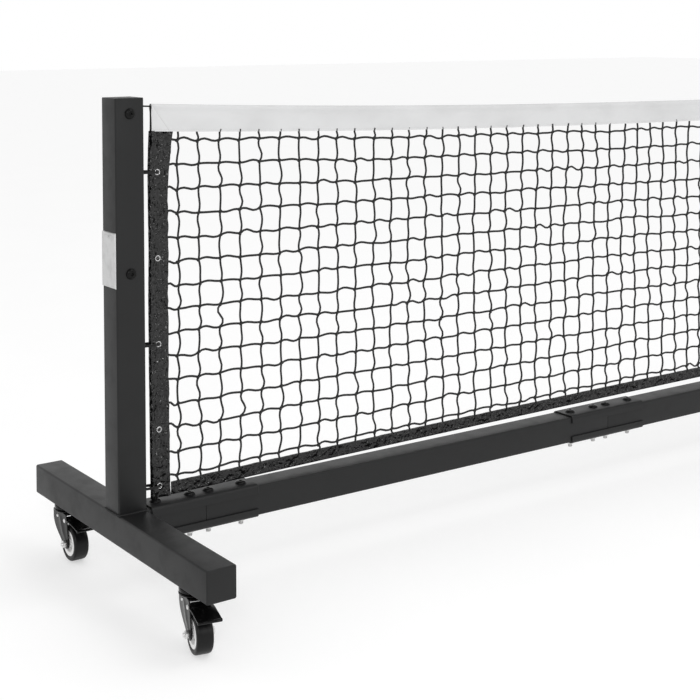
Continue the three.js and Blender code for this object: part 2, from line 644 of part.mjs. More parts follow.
const netSystem = new THREE.Group();
netSystem.add(endFrame("left", 1), endFrame("right", -1));
for (let i = 0; i < RAIL_COUNT; i++) {
  netSystem.add(mesh(`rail_${i + 1}`, rail(i), "frame"));
}
for (let i = 0; i <= RAIL_COUNT; i++) {
  netSystem.add(mesh(`splice_top_${i + 1}`, spliceTop(seamPlace(i)), "frame"));
  netSystem.add(mesh(`splice_bottom_${i + 1}`, spliceBottom(seamPlace(i)), "frame"));
}

const innerHalf = HALF_WIDTH - SIDE_BAND_INNER - GAP;
const bandHalf = BOTTOM_BAND_HEIGHT / 2;
const meshFoot = (x) => netFoot(x) + bandHalf + GAP;
const meshTop = (x) => netTop(x) - TAPE_HEIGHT - GAP;
const bandFoot = (x) => netFoot(x) - bandHalf;
const bandTop = (x) => netFoot(x) + bandHalf;
const bottomBand = netStrip(innerHalf, BOTTOM_BAND_THICKNESS, bandFoot, bandTop);
netSystem.add(
  mesh("net_mesh", netStrip(innerHalf, MESH_THICKNESS, meshFoot, meshTop), "twine"),
  mesh("bottom_band", bottomBand, "band"),
  mesh("top_tape", topTape(), "tape"),
  mesh("headline_cord", headlineCord(), "twine"),
);

netSystem.add(
  caster("left_front", -1, -1),
  caster("left_back", -1, 1),
  caster("right_front", 1, -1),
  caster("right_back", 1, 1),
);

export default netSystem;
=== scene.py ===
"""A portable pickleball net on braked casters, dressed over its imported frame. Metres, +X along the net."""
import json

import bpy
import numpy as np
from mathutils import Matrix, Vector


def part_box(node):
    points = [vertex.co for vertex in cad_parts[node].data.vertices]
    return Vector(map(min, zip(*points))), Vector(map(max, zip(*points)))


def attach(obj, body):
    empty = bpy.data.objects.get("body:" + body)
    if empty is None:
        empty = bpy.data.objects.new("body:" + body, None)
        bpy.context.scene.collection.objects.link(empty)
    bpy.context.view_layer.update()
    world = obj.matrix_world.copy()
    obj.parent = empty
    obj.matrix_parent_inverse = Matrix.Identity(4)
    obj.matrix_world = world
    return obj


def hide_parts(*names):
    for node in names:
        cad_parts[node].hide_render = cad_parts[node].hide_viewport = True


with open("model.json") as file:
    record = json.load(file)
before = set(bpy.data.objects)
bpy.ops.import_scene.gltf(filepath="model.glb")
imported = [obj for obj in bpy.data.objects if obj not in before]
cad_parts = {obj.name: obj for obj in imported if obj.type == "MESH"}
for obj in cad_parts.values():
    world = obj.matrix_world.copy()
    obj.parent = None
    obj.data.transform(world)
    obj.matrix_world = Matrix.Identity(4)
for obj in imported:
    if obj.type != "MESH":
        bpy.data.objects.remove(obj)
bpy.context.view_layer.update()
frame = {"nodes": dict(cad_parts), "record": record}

# ------------------------------------------------------------
# Camera, floor and studio light
# A long lens held a little above the tape at the left end, looking along the net. White room
# and floor, a large soft lamp in front on the left, one overhead, and two small ones for glints.
# ------------------------------------------------------------
camera = bpy.data.objects.new("camera", bpy.data.cameras.new("camera"))
bpy.context.collection.objects.link(camera)
camera.location = (-4.4792, -2.3600, 1.0489)
camera.rotation_euler = np.radians((90 - 2.23, 0.15, -35.13))
camera.data.lens = 73.6
camera.data.sensor_width = 36.0
camera.data.shift_y = -0.384
camera.data.clip_end = 60.0
bpy.context.scene.camera = camera

world = bpy.data.worlds.new("white_room")
bpy.context.scene.world = world
world.use_nodes = True
bpy.context.scene.view_settings.view_transform = "Standard"


def lamp(name, place, aim, size, energy):
    """A square soft lamp at place, turned towards aim."""
    light = bpy.data.lights.new(name, "AREA")
    light.size = size
    light.energy = energy
    holder = bpy.data.objects.new(name, light)
    holder.location = place
    bpy.context.collection.objects.link(holder)
    across = np.subtract(place, aim)
    level = np.hypot(across[0], across[1])
    holder.rotation_euler = (np.arctan2(level, across[2]), 0.0, np.arctan2(across[0], -across[1]))


lamp("front_lamp", (-6.0, -4.5, 3.2), (-2.8, 0.0, 0.5), 1.2, 60.0)
lamp("high_lamp", (-1.0, -2.0, 4.5), (-1.8, 0.0, 0.3), 2.0, 30.0)
lamp("edge_lamp", (-7.4, -1.9, 1.3), (-3.3, 0.0, 0.5), 0.4, 5.0)
lamp("glint_lamp", (-2.4, -4.2, 1.85), (-3.2, 0.0, 0.5), 0.6, 17.0)


class Socket:
    """One value in a shader tree: arithmetic on it adds Math nodes, and node() adds any other node."""

    def __init__(self, tree, link=None):
        self.tree = tree
        self.link = link

    def node(self, kind, inputs=(), out=0, stops=None, **settings):
        """A node of a kind, its settings set first, then each input given a value or a link."""
        made = self.tree.nodes.new("ShaderNode" + kind)
        for key, value in settings.items():
            setattr(made, key, value)
        if stops:
            ramp = made.color_ramp.elements
            while len(ramp) < len(stops):
                ramp.new(0.5)
            for element, (position, shade) in zip(ramp, stops):
                element.position = position
                element.color = (shade, shade, shade, 1.0)
        for key, value in dict(inputs).items():
            if isinstance(value, Socket):
                self.tree.links.new(value.link, made.inputs[key])
            else:
                made.inputs[key].default_value = value
        return Socket(self.tree, made.outputs[out])

    def math(self, operation, *others):
        """A Math node with this value as its first input."""
        return self.node("Math", enumerate((self, *others)), operation=operation)

    def axis(self, letter):
        """One component of this vector."""
        return self.node("SeparateXYZ", {"Vector": self}, out=letter)

    def mix(self, first, second):
        """A colour between two others, by this factor."""
        return self.node("Mix", {0: self, 6: first, 7: second}, out=2, data_type="RGBA")

    def ramp(self, *stops):
        """This value put through straight steps between (position, brightness) stops."""
        return self.node("ValToRGB", {"Fac": self}, stops=stops)

    def bump(self, strength, distance):
        """A surface direction bent as if this value were a height."""
        sizes = {"Height": self, "Strength": strength, "Distance": distance}
        return self.node("Bump", sizes, out="Normal")

    def __add__(self, other):
        return self.math("ADD", other)

    def __sub__(self, other):
        return self.math("SUBTRACT", other)

    def __rsub__(self, other):
        return self.node("Math", enumerate((other, self)), operation="SUBTRACT")

    def __mul__(self, other):
        return self.math("MULTIPLY", other)

    def __truediv__(self, other):
        return self.math("DIVIDE", other)

    __radd__ = __add__
    __rmul__ = __mul__


def finish_of(name, varying, **constants):
    """A material: constants go on the shader's own sockets, varying(start) gives the rest as links."""
    material = bpy.data.materials.new(name)
    material.use_nodes = True
    shader = material.node_tree.nodes["Principled BSDF"]
    for key, value in constants.items():
        shader.inputs[key.replace("_", " ")].default_value = value
    for key, value in varying(Socket(material.node_tree)).items():
        material.node_tree.links.new(value.link, shader.inputs[key])
    return material


def grey(level, warmth=0.0):
    """A neutral colour, warmer above 0 and cooler below."""
    return (level * (1 + warmth), level, level * (1 - warmth), 1.0)


def noise(start, scale, detail=3.0, stretch=(1, 1, 1)):
    """Soft cloud noise from 0 to 1, at scale clouds per metre, on the piece's own coordinates."""
    place = start.node("TexCoord", out="Object")
    place = start.node("Mapping", {"Vector": place, "Scale": stretch})
    return start.node("TexNoise", {"Vector": place, "Scale": scale, "Detail": detail})


def room(start):
    """Light of the room by direction: full towards +X and +Y, and dimmer towards the front left."""
    way = start.node("TexCoord", out="Generated")
    towards = way.axis("X") * 0.7 + way.axis("Y") * 0.7
    return towards.ramp((0.0, 0.6), (0.25, 1.0))


shade = world.node_tree.nodes["Background"].inputs["Color"]
world.node_tree.links.new(room(Socket(world.node_tree)).link, shade)


def floor_finish(start):
    """Light grey, very slightly clouded."""
    return {"Base Color": noise(start, 3.0).mix(grey(0.54), grey(0.57))}


floor = bpy.data.objects.new("floor", bpy.data.meshes.new("floor"))
floor.data.from_pydata([(-30, -30, 0), (30, -30, 0), (30, 30, 0), (-30, 30, 0)], [], [(0, 1, 2, 3)])
glow = {"Emission_Color": grey(1.0), "Emission_Strength": 0.5}
lit_floor = finish_of("lit_floor", floor_finish, Roughness=0.9, Specular_IOR_Level=0.1, **glow)
floor.data.materials.append(lit_floor)
bpy.context.collection.objects.link(floor)

# ------------------------------------------------------------
# Feet
# 57 mm square steel tube with its ends welded shut, and a stub of the same tube welded to the
# inner face, where the base rail is bolted on. Satin charcoal powder coat over everything.
# ------------------------------------------------------------
foot_low, foot_high = (np.array(corner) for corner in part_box("foot_left"))
TUBE = foot_high[2] - foot_low[2]
TUBE_CORNER = 0.0035
OUTER = abs(foot_low[0])


def powder_coat(start):
    """Fine orange-peel bumps, a faint cloudiness, and dust that dulls the gloss in patches."""
    cloud = noise(start, 9.0)
    peel = noise(start, 900.0, 2.0)
    speck = noise(start, 2600.0, 1.0)
    dust = noise(start, 30.0, 5.0).ramp((0.45, 0.0), (0.75, 1.0))
    return {
        "Base Color": cloud.mix(grey(0.0085, -0.02), grey(0.012, -0.02)),
        "Roughness": dust * 0.08 + cloud * 0.06 + 0.42,
        "Normal": (peel + speck * 0.5).bump(0.22, 0.0004),
    }


charcoal = finish_of("charcoal_powder_coat", powder_coat, Specular_IOR_Level=0.3)


def mesh_piece(name, points, faces, material, body, slot, uv=None, sharp=35):
    """An object from points (n, 3) and faces, a list of (count, corners) index arrays. Smooth, with
    edges sharper than an angle kept crisp. uv gives one (u, v) pair per point. The faces are turned
    over when the volume they enclose, summed over fans of triangles, comes out negative."""
    points = np.asarray(points, float)
    middle = points.mean(axis=0)
    volume = 0.0
    for f in faces:
        for k in range(1, f.shape[1] - 1):
            a, b, c = (points[f[:, n]] - middle for n in (0, k, k + 1))
            volume += np.einsum("ij,ij->", a, np.cross(b, c))
    if volume < 0:
        faces = [f[:, ::-1] for f in faces]
    mesh = bpy.data.meshes.new(name)
    corners = np.concatenate([f.ravel() for f in faces]).astype(np.int32)
    sides = np.concatenate([np.full(len(f), f.shape[1]) for f in faces])
    mesh.vertices.add(len(points))
    mesh.vertices.foreach_set("co", np.asarray(points, np.float32).ravel())
    mesh.loops.add(len(corners))
    mesh.loops.foreach_set("vertex_index", corners)
    mesh.polygons.add(len(sides))
    mesh.polygons.foreach_set("loop_start", (np.cumsum(sides) - sides).astype(np.int32))
    if uv is not None:
        layer = mesh.uv_layers.new(name="UVMap")
        layer.data.foreach_set("uv", np.asarray(uv, np.float32)[corners].ravel())
    mesh.update(calc_edges=True)
    mesh.polygons.foreach_set("use_smooth", np.ones(len(sides), bool))
    mesh.set_sharp_from_angle(angle=np.radians(sharp))
    mesh.materials.append(material)
    piece = bpy.data.objects.new(name, mesh)
    bpy.context.collection.objects.link(piece)
    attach(piece, body)
    return piece


def skin_faces(rings, around, ring_closed=False):
    """Quads between neighbouring rings of a grid, each ring closed on itself. Rings run outwards by
    the right hand, so the quads face out. The last ring joins the first where ring_closed."""
    i = np.arange(rings if ring_closed else rings - 1)[:, None]
    j = np.arange(around)[None, :]
    here, there = i * around, (i + 1) % rings * around
    quads = np.stack([here + j, here + (j + 1) % around, there + (j + 1) % around, there + j], -1)
    return quads.reshape(-1, 4)


def skin(name, rings, material, body, slot, ring_closed=False, **rest):
    """A closed skin over rings of points (rings, around, 3), with a flat face over each end, or with
    the last ring joined to the first."""
    count, around = rings.shape[:2]
    faces = [skin_faces(count, around, ring_closed)]
    if not ring_closed:
        end = np.arange(around)
        faces += [end[None, ::-1], (end + (count - 1) * around)[None]]
    return mesh_piece(name, rings.reshape(-1, 3), faces, material, body, slot, **rest)


def square_loop(size, radius, inset=0.0, steps=6):
    """Once round a square with rounded corners: each corner is a quarter circle about its own
    centre. The inset shrinks the square and its corners together."""
    turn = np.radians(np.linspace(0, 90, steps))
    start = np.radians([-90, 0, 90, 180])[:, None]
    half = size / 2 - radius
    centre = half * np.array([[1, -1], [1, 1], [-1, 1], [-1, -1]])[:, None]
    curve = np.stack([np.cos(start + turn), np.sin(start + turn)], -1) * (radius - inset)
    return (centre + curve).reshape(-1, 2)


def laid(loop, along, axis, centre):
    """Loops (n, 2) laid across an axis at places along it: +X takes (y, z), +Y takes (-x, z), +Z
    takes (x, y). Gives rings (places, n, 3) about a centre."""
    loop = np.broadcast_to(loop, (len(along),) + loop.shape[-2:])
    depth = np.broadcast_to(np.asarray(along)[:, None], loop.shape[:2])
    first, second = loop[..., 0], loop[..., 1]
    order = {"X": (depth, first, second), "Y": (-first, depth, second), "Z": (first, second, depth)}[axis]
    return np.stack(order, -1) + np.asarray(centre)


def square_tube(name, start, end, axis, centre, edge=0.0025):
    """A square tube with closed ends, their edges rolled over by a quarter circle: the loops shrink
    by 1 - cos while they near the end by 1 - sin."""
    roll = np.radians(np.linspace(0, 90, 5))
    shrink, near = edge * (1 - np.cos(roll[::-1])), edge * (1 - np.sin(roll[::-1]))
    along = np.concatenate([start + near, np.linspace(start, end, 9)[1:-1], end - near[::-1]])
    insets = np.concatenate([shrink, np.zeros(7), shrink[::-1]])
    loops = np.stack([square_loop(TUBE, TUBE_CORNER, inset) for inset in insets])
    return skin(name, laid(loops, along, axis, centre), charcoal, "frame", "frame_paint", sharp=60)


def weld_path(size, radius, count=384):
    """Points all the way round a rounded square, close enough together for the bead's ripples."""
    loop = square_loop(size, radius, 0.0, 10)
    closed = np.vstack([loop, loop[:1]])
    run = np.concatenate([[0], np.cumsum(np.linalg.norm(np.diff(closed, axis=0), axis=1))])
    even = np.linspace(0, run[-1], count, endpoint=False)
    return np.stack([np.interp(even, run, closed[:, k]) for k in (0, 1)], -1), even


def weld_bead(name, axis, centre):
    """A fillet weld round a square tube: a flattened round bead that swells at every ripple of the
    pool, 3 mm apart, and wanders a little."""
    path, run = weld_path(TUBE + 0.0012, TUBE_CORNER)
    out = path / np.linalg.norm(path, axis=1, keepdims=True)
    turn = np.linspace(0, 2 * np.pi, 10, endpoint=False)
    swell = 0.0021 * (1 + 0.16 * np.cos(2 * np.pi * run / 0.003) + 0.12 * np.sin(run * 90))
    reach = out[:, None] * (np.cos(turn)[None, :, None] * swell[:, None, None])
    depth = np.sin(turn)[None] * swell[:, None]
    flat = path[:, None] + reach
    first, second = flat[..., 0], flat[..., 1]
    order = {"X": (depth, first, second), "Z": (first, second, depth)}[axis]
    rings = np.stack(order, -1) + np.asarray(centre)
    return skin(name, rings[:, ::-1], charcoal, "frame", "frame_paint", ring_closed=True)


tube_z = (foot_low[2] + foot_high[2]) / 2
SEAM = abs(foot_high[0])
for side, out in (("left", -1), ("right", 1)):
    middle = out * (OUTER - TUBE / 2)
    foot = square_tube(f"foot_{side}_tube", foot_low[1], foot_high[1], "Y", (middle, 0, tube_z))
    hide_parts(f"foot_{side}")
    inner = middle - out * TUBE / 2
    ends = sorted((inner, out * SEAM))
    square_tube(f"foot_{side}_stub", ends[0], ends[1], "X", (0, 0, tube_z), edge=0.0006)
    weld_bead(f"foot_{side}_stub_weld", "X", (inner, 0, tube_z))

# ------------------------------------------------------------
# Posts
# The same tube stood on each foot and welded round, with a flat plate closing the top. Two bolts
# go through each, with a button head on the front and on the back.
# ------------------------------------------------------------
post_low, post_high = (np.array(corner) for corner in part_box("post_left"))


def head_rings(rings, axis, around=24):
    """A round or hexagonal head from rings (radius, depth, hexness), standing along an axis: the
    radius is a circle's, or by hexness a hexagon's of that circumradius."""
    turn = np.linspace(0, 2 * np.pi, around, endpoint=False)
    radius, depth, hexness = np.array(rings, float).T
    flat = np.cos(np.pi / 6) / np.cos((turn + np.pi / 6) % (np.pi / 3) - np.pi / 6)
    reach = radius[:, None] * (1 + hexness[:, None] * (flat[None] - 1))
    loops = np.stack([np.cos(turn)[None] * reach, np.sin(turn)[None] * reach], -1)
    grid = laid(loops, depth, axis.strip("-"), (0, 0, 0))
    if axis.startswith("-"):
        flip = np.array({"X": (-1, 1, 1), "Y": (1, -1, 1), "Z": (1, 1, -1)}[axis[1]])
        grid = (grid * flip)[:, ::-1]
    return grid


def headed(name, rings, centre, axis, material, slot, around=24):
    """A bolt's, nut's or rivet's head on the frame, its foot at centre."""
    grid = head_rings(rings, axis, around) + np.asarray(centre)
    return skin(name, grid, material, "frame", slot, sharp=40)


def black_oxide(start):
    """Black-plated screw steel with a slight oily sheen."""
    grain = noise(start, 700.0)
    return {"Base Color": grain.mix(grey(0.003), grey(0.006)), "Roughness": grain * 0.12 + 0.22}


screw_black = finish_of("black_screw", black_oxide, Specular_IOR_Level=0.14)


def button_head(radius, height, socket):
    """Rings of a button-head screw: the rim, a dome, then a hexagonal socket sunk into it."""
    return (
        (radius * 0.96, 0.0, 0), (radius, height * 0.12, 0), (radius * 0.97, height * 0.35, 0),
        (radius * 0.88, height * 0.62, 0), (radius * 0.74, height * 0.85, 0),
        (radius * 0.58, height * 0.98, 0), (socket * 1.12, height, 0.3),
        (socket * 1.02, height * 0.97, 1), (socket, height * 0.4, 1), (socket * 0.1, height * 0.33, 1),
    )


post_top = post_high[2]
BOLT_HEIGHTS = (0.891, 0.601)
POST_HEAD = 0.005
for side, out in (("left", -1), ("right", 1)):
    middle = out * (OUTER - TUBE / 2)
    post = square_tube(f"post_{side}_tube", foot_high[2], post_top, "Z", (middle, 0, 0), edge=0.0012)
    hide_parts(f"post_{side}")
    weld_bead(f"post_{side}_weld", "Z", (middle, 0, foot_high[2] + 0.0004))
    for number, height in enumerate(BOLT_HEIGHTS):
        for face, sign in (("front", "-"), ("back", "")):
            place = (middle, (-1 if sign else 1) * (TUBE / 2 - 0.0002), height)
            head = button_head(0.010, POST_HEAD, 0.0034)
            name = f"post_{side}_bolt_{face}_{number}"
            headed(name, head, place, sign + "Y", screw_black, "frame_paint")

# ------------------------------------------------------------
# Eyes for the ties
# Flat steel lugs with a round hole, cut from 3 mm sheet, welded on edge to each post's inner face
# and powder coated with it.
# ------------------------------------------------------------
TIED = {"top": 0.7795, "middle": 0.4595, "bottom": 0.1935}
EYE_HOLE = 0.0035
EYE_AT = 0.0071


def washer(centre, hole, outline, thickness):
    """A flat lug with a hole: the section goes from the hole's wall to the outline and back, with
    bevelled edges, for every direction about the hole. The plate lies across Y."""
    turn = np.linspace(0, 2 * np.pi, 40, endpoint=False)
    share = np.array([0, 0.0, 0.08, 0.92, 1, 1, 0.92, 0.08])
    half = thickness / 2
    depth = np.array([-half * 0.6, half * 0.6, half, half, half * 0.6, -half * 0.6, -half, -half])
    reach = hole + share[:, None] * (outline(turn)[None] - hole)
    x, z = np.cos(turn)[None] * reach, np.sin(turn)[None] * reach
    return np.stack([x, np.broadcast_to(depth[:, None], x.shape), z], -1) + np.asarray(centre)


def lug_outline(turn):
    """Distance from the hole's centre to a 13 by 14 mm rounded lug, by direction."""
    power = 5.0
    across, up = np.abs(np.cos(turn) / 0.0062), np.abs(np.sin(turn) / 0.007)
    return 1 / (across**power + up**power) ** (1 / power)


for side, out in (("left", 1), ("right", -1)):
    face = out * (-OUTER + TUBE)
    for place, height in TIED.items():
        grid = washer((face + out * EYE_AT * 0.88, 0, height), EYE_HOLE, lug_outline, 0.003)
        skin(f"eye_{side}_{place}", grid, charcoal, "frame", "frame_paint", ring_closed=True)

# ------------------------------------------------------------
# Identification plates
# Thin aluminium plate glued to each post's outer face and held by one rivet. A pressed border
# line and a plain pressed oval are all that is on it.
# ------------------------------------------------------------
plate_low, plate_high = (np.array(corner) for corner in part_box("name_plate_left"))


def worn_aluminium(start):
    """Brushed along its length, with fine scratches and slightly darker smudges."""
    brushed = noise(start, 60.0, 4.0, (1, 40, 1))
    smudge = noise(start, 45.0, 4.0).ramp((0.45, 0.0), (0.8, 1.0))
    return {
        "Base Color": smudge.mix(grey(0.62), grey(0.5)),
        "Roughness": brushed * 0.16 + smudge * 0.1 + 0.34,
        "Normal": brushed.bump(0.12, 0.0003),
    }


aluminium = finish_of("brushed_aluminium", worn_aluminium, Metallic=0.75)
for side, out in (("left", -1), ("right", 1)):
    v = np.linspace(-1, 1, 90)[:, None]
    u = np.linspace(-1, 1, 60)[None]
    wide, tall, corner = 0.027, (plate_high[2] - plate_low[2]) / 2, 0.004
    y, z = wide * u + 0 * v, tall * v + 0 * u
    border = np.maximum(np.abs(y) - (wide - 0.0045), np.abs(z) - (tall - 0.0045))
    oval = np.hypot(y / 0.011, (z + 0.010) / 0.021) - 1
    press = 0.00035 * np.exp(-((border / 0.0007) ** 2)) + 0.00045 * np.exp(-((oval / 0.09) ** 2))
    edge = np.minimum(wide - np.abs(y), tall - np.abs(z))
    lift = 0.0019 * np.clip(edge / 0.0008, 0, 1) ** 0.5 + 0.0003 - press
    front = np.stack([out * (OUTER + lift), y, z + (plate_low[2] + plate_high[2]) / 2], -1)
    back = front.copy()
    back[..., 0] = out * (OUTER + 0.0001)
    rows, columns = front.shape[:2]
    corner = np.arange(rows - 1)[:, None] * columns + np.arange(columns - 1)[None]
    face = np.stack([corner, corner + 1, corner + columns + 1, corner + columns], -1).reshape(-1, 4)
    if out < 0:
        face = face[:, ::-1]
    number = np.arange(rows * columns).reshape(rows, columns)
    rim = np.concatenate([number[0], number[1:, -1], number[-1, -2::-1], number[-2:0:-1, 0]])
    lower = rim + rows * columns
    wall = np.stack([np.roll(rim, -1), rim, lower, np.roll(lower, -1)], -1)
    if out < 0:
        wall = wall[:, ::-1]
    points = np.concatenate([front.reshape(-1, 3), back.reshape(-1, 3)])
    faces = [face, face[:, ::-1] + rows * columns, wall]
    plate = mesh_piece(f"plate_{side}", points, faces, aluminium, "frame", "plate")
    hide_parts(f"name_plate_{side}")
    rivet = (
        (0.0034, 0, 0), (0.0034, 0.0004, 0), (0.0028, 0.0011, 0), (0.0017, 0.0014, 0),
        (0.0012, 0.0010, 0), (0.0002, 0.0008, 0),
    )
    rivet_at = (out * (OUTER + 0.0021), 0.0, plate_high[2] - 0.009)
    headed(f"plate_{side}_rivet", rivet, rivet_at, "X" if out > 0 else "-X", aluminium, "plate")

# ------------------------------------------------------------
# Base rail
# Six equal lengths of the foot's tube, butted end to end. The rolled edge of each end is what
# draws the hairline seam between two of them.
# ------------------------------------------------------------
for number in range(1, 7):
    low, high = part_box(f"rail_{number}")
    section = square_tube(f"rail_{number}_tube", low[0], high[0], "X", (0, 0, tube_z), edge=0.0006)
    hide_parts(f"rail_{number}")

# ------------------------------------------------------------
# Splices
# Above and below every seam a channel pressed from 3 mm sheet, its lips folded over the tube's
# front and back. Four bolts go down through both, with zinc-plated nuts on the thread ends below.
# ------------------------------------------------------------
FACE = TUBE / 2 + 0.0033
LIP = 0.017
EDGE = 0.0006
SPLICE_BOLTS = (-0.092, -0.020, 0.020, 0.092)
NUT_HEIGHT = 0.0084


def channel_loop(inset):
    """The section of the upper channel, (y, z) about the tube's centre: up one lip, over the outside
    bends, down the other lip, and back along the inside. The inset shrinks it on all sides."""
    foot = FACE - LIP + inset
    bend = np.radians(np.linspace(0, 90, 7))

    def over(reach, radius):
        centre = reach - radius
        curve = centre + radius * np.stack([np.cos(bend), np.sin(bend)], -1)
        return np.vstack([[(reach, foot)], curve, curve[::-1] * (-1, 1), [(-reach, foot)]])

    outside = over(FACE - inset, 0.0085 - inset)
    inside = over(TUBE / 2 + 0.0003 + inset, 0.0055 + inset)[::-1]
    return np.vstack([outside, inside])


def zinc(start):
    """Bright zinc plate, clouded, with a fine grain."""
    cloud = noise(start, 260.0, 4.0)
    return {"Base Color": cloud.mix(grey(0.62, 0.01), grey(0.8, 0.0)), "Roughness": cloud * 0.2 + 0.2}


zinc_plate = finish_of("zinc_plate", zinc, Metallic=0.85)


def nut_rings(across, height, thread, end):
    """Rings of a nut and the bolt end through it: chamfered hexagon, face, then thread turns."""
    wide = across / 2 / np.cos(np.pi / 6)
    body = [(wide * 0.93, 0, 1), (wide, height * 0.1, 1), (wide, height * 0.9, 1)]
    body += [(wide * 0.93, height, 0.7), (thread * 1.1, height, 0)]
    turns = int(end / 0.0012)
    for k in range(turns):
        body += [(thread, height + (k + 0.1) * 0.0012, 0), (thread * 0.9, height + (k + 0.6) * 0.0012, 0)]
    return body + [(thread * 0.85, height + end, 0), (thread * 0.1, height + end, 0)]


for number in range(1, 8):
    low, high = (np.array(corner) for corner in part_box(f"splice_top_{number}"))
    seam = (low[0] + high[0]) / 2
    middles = np.linspace(low[0], high[0], 5)[1:-1]
    along = np.array([low[0], low[0] + EDGE, *middles, high[0] - EDGE, high[0]])
    loops = np.stack([channel_loop(inset) for inset in (EDGE, 0.0, 0.0, 0.0, 0.0, 0.0, EDGE)])
    upper = laid(loops, along, "X", (0, 0, tube_z))
    top = skin(f"splice_{number}_upper", upper, charcoal, "frame", "frame_paint")
    bottom_rings = laid(loops * (1, -1), along, "X", (0, 0, tube_z))[:, ::-1]
    bottom = skin(f"splice_{number}_lower", bottom_rings, charcoal, "frame", "frame_paint")
    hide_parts(f"splice_top_{number}")
    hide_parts(f"splice_bottom_{number}")
    thread_end = tube_z - FACE - NUT_HEIGHT - low[2]
    for place, offset in enumerate(SPLICE_BOLTS):
        x = seam + offset
        above, under = (x, 0, tube_z + FACE - 0.0002), (x, 0, tube_z - FACE + 0.0002)
        bolt, nut = button_head(0.011, 0.005, 0.0036), nut_rings(0.017, NUT_HEIGHT, 0.005, thread_end)
        headed(f"splice_{number}_bolt_{place}", bolt, above, "Z", screw_black, "frame_paint", 18)
        headed(f"splice_{number}_nut_{place}", nut, under, "-Z", zinc_plate, "zinc", 18)

# ------------------------------------------------------------
# Net
# Square mesh of 4.4 mm braided twine, knotted at every crossing 45 mm apart. Tension is uneven, so
# knots wander a few millimetres and each strand leaves its knot with a slight bend.
# ------------------------------------------------------------
NET_HALF = OUTER - 0.082
TOP_MIDDLE, TOP_RISE = 0.8615, 0.045
FOOT_MIDDLE, FOOT_DROP = 0.1965, 0.013
TAPE_HEIGHT, BAND_HALF = 0.051, 0.012
PITCH = 0.0449
COLUMNS = 144
ROWS = 15
TWINE = 0.0022


def rise(x):
    """0 in the middle of the net and 1 at its edges, by a power of the distance."""
    return (np.abs(x) / NET_HALF) ** 3.7


def net_top(x):
    """Height of the net's top line, which climbs to its edges."""
    return TOP_MIDDLE + TOP_RISE * rise(x)


def net_foot(x):
    """Height of the bottom band's middle, which drops towards the net's edges."""
    return FOOT_MIDDLE - FOOT_DROP * rise(x)


def clouds(u, v, seed):
    """Smooth random heights from -1 to 1: random values on a unit lattice, blended by smoothstep."""
    lattice = np.random.default_rng(seed).uniform(-1, 1, (64, 64))
    iu, iv = np.floor(u).astype(int), np.floor(v).astype(int)
    fu, fv = u - iu, v - iv
    fu, fv = fu * fu * (3 - 2 * fu), fv * fv * (3 - 2 * fv)

    def corner(a, b):
        return lattice[(iu + a) % 64, (iv + b) % 64]

    low = corner(0, 0) * (1 - fu) + corner(1, 0) * fu
    high = corner(0, 1) * (1 - fu) + corner(1, 1) * fu
    return low * (1 - fv) + high * fv


def braided(start):
    """Black braid: two sets of diagonal stripes crossing round the cord, 3 mm apart along it and two to a
    turn. The colour carries painted shade: a little paler along the stripes' crests and darker in the
    grooves between them."""
    place = start.node("UVMap", out="UV", uv_map="UVMap")
    turns, plaits = place.axis("X") * 12.566, place.axis("Y") * 2100.0
    weave = (plaits + turns).math("SINE").math("MAXIMUM", (plaits - turns).math("SINE"))
    fuzz = noise(start, 1500.0, 2.0)
    return {
        # Painted shade: the colour follows the weave's height, darker in the grooves between plaits and
        # paler on their crests.
        "Base Color": (weave * 0.5 + 0.5).mix(grey(0.010), grey(0.026)),
        "Roughness": fuzz * 0.15 + 0.7,
        "Normal": (weave + fuzz * 0.4).bump(0.5, 0.0003),
    }


braid = finish_of("black_braid", braided, Specular_IOR_Level=0.3)


def many_skins(points, run):
    """The points, faces and map of many closed skins (count, steps, around, 3) of one size: u goes
    once round each, and v is the run along it."""
    count, steps, around = points.shape[:3]
    base = np.arange(count)[:, None, None] * (steps * around)
    quads = (skin_faces(steps, around)[None] + base).reshape(-1, 4)
    end = np.arange(around)[None] + base[:, :, 0]
    caps = np.concatenate([end[:, ::-1], end + (steps - 1) * around])
    u = np.broadcast_to(np.linspace(0, 1, around, endpoint=False)[None, None], points.shape[:3])
    v = np.broadcast_to(run, points.shape[:3])
    return points.reshape(-1, 3), [quads, caps], np.stack([u, v], -1).reshape(-1, 2)


def strands(start, end, bow, sway, radius, steps=7, around=6):
    """Many short cords at once: each runs straight from start to end and is bent sideways in the
    net's plane by bow times a half sine plus sway times a whole sine, with a round section."""
    t = np.linspace(0, 1, steps)[None, :, None]
    run = end - start
    length = np.linalg.norm(run, axis=1)
    side = np.stack([-run[:, 2], 0 * length, run[:, 0]], -1) / length[:, None]
    bend = bow[:, None, None] * np.sin(np.pi * t) + sway[:, None, None] * np.sin(2 * np.pi * t)
    path = start[:, None] + run[:, None] * t + side[:, None] * bend
    tangent = np.gradient(path, axis=1)
    tangent /= np.linalg.norm(tangent, axis=2, keepdims=True)
    out = np.array([0.0, 1.0, 0.0])
    across = np.cross(tangent, out)
    across /= np.linalg.norm(across, axis=2, keepdims=True)
    other = np.cross(tangent, across)
    turn = np.linspace(0, 2 * np.pi, around, endpoint=False)[None, None, :, None]
    ring = across[:, :, None] * np.cos(turn) + other[:, :, None] * np.sin(turn)
    return many_skins(path[:, :, None] + radius * ring, t * length[:, None, None])


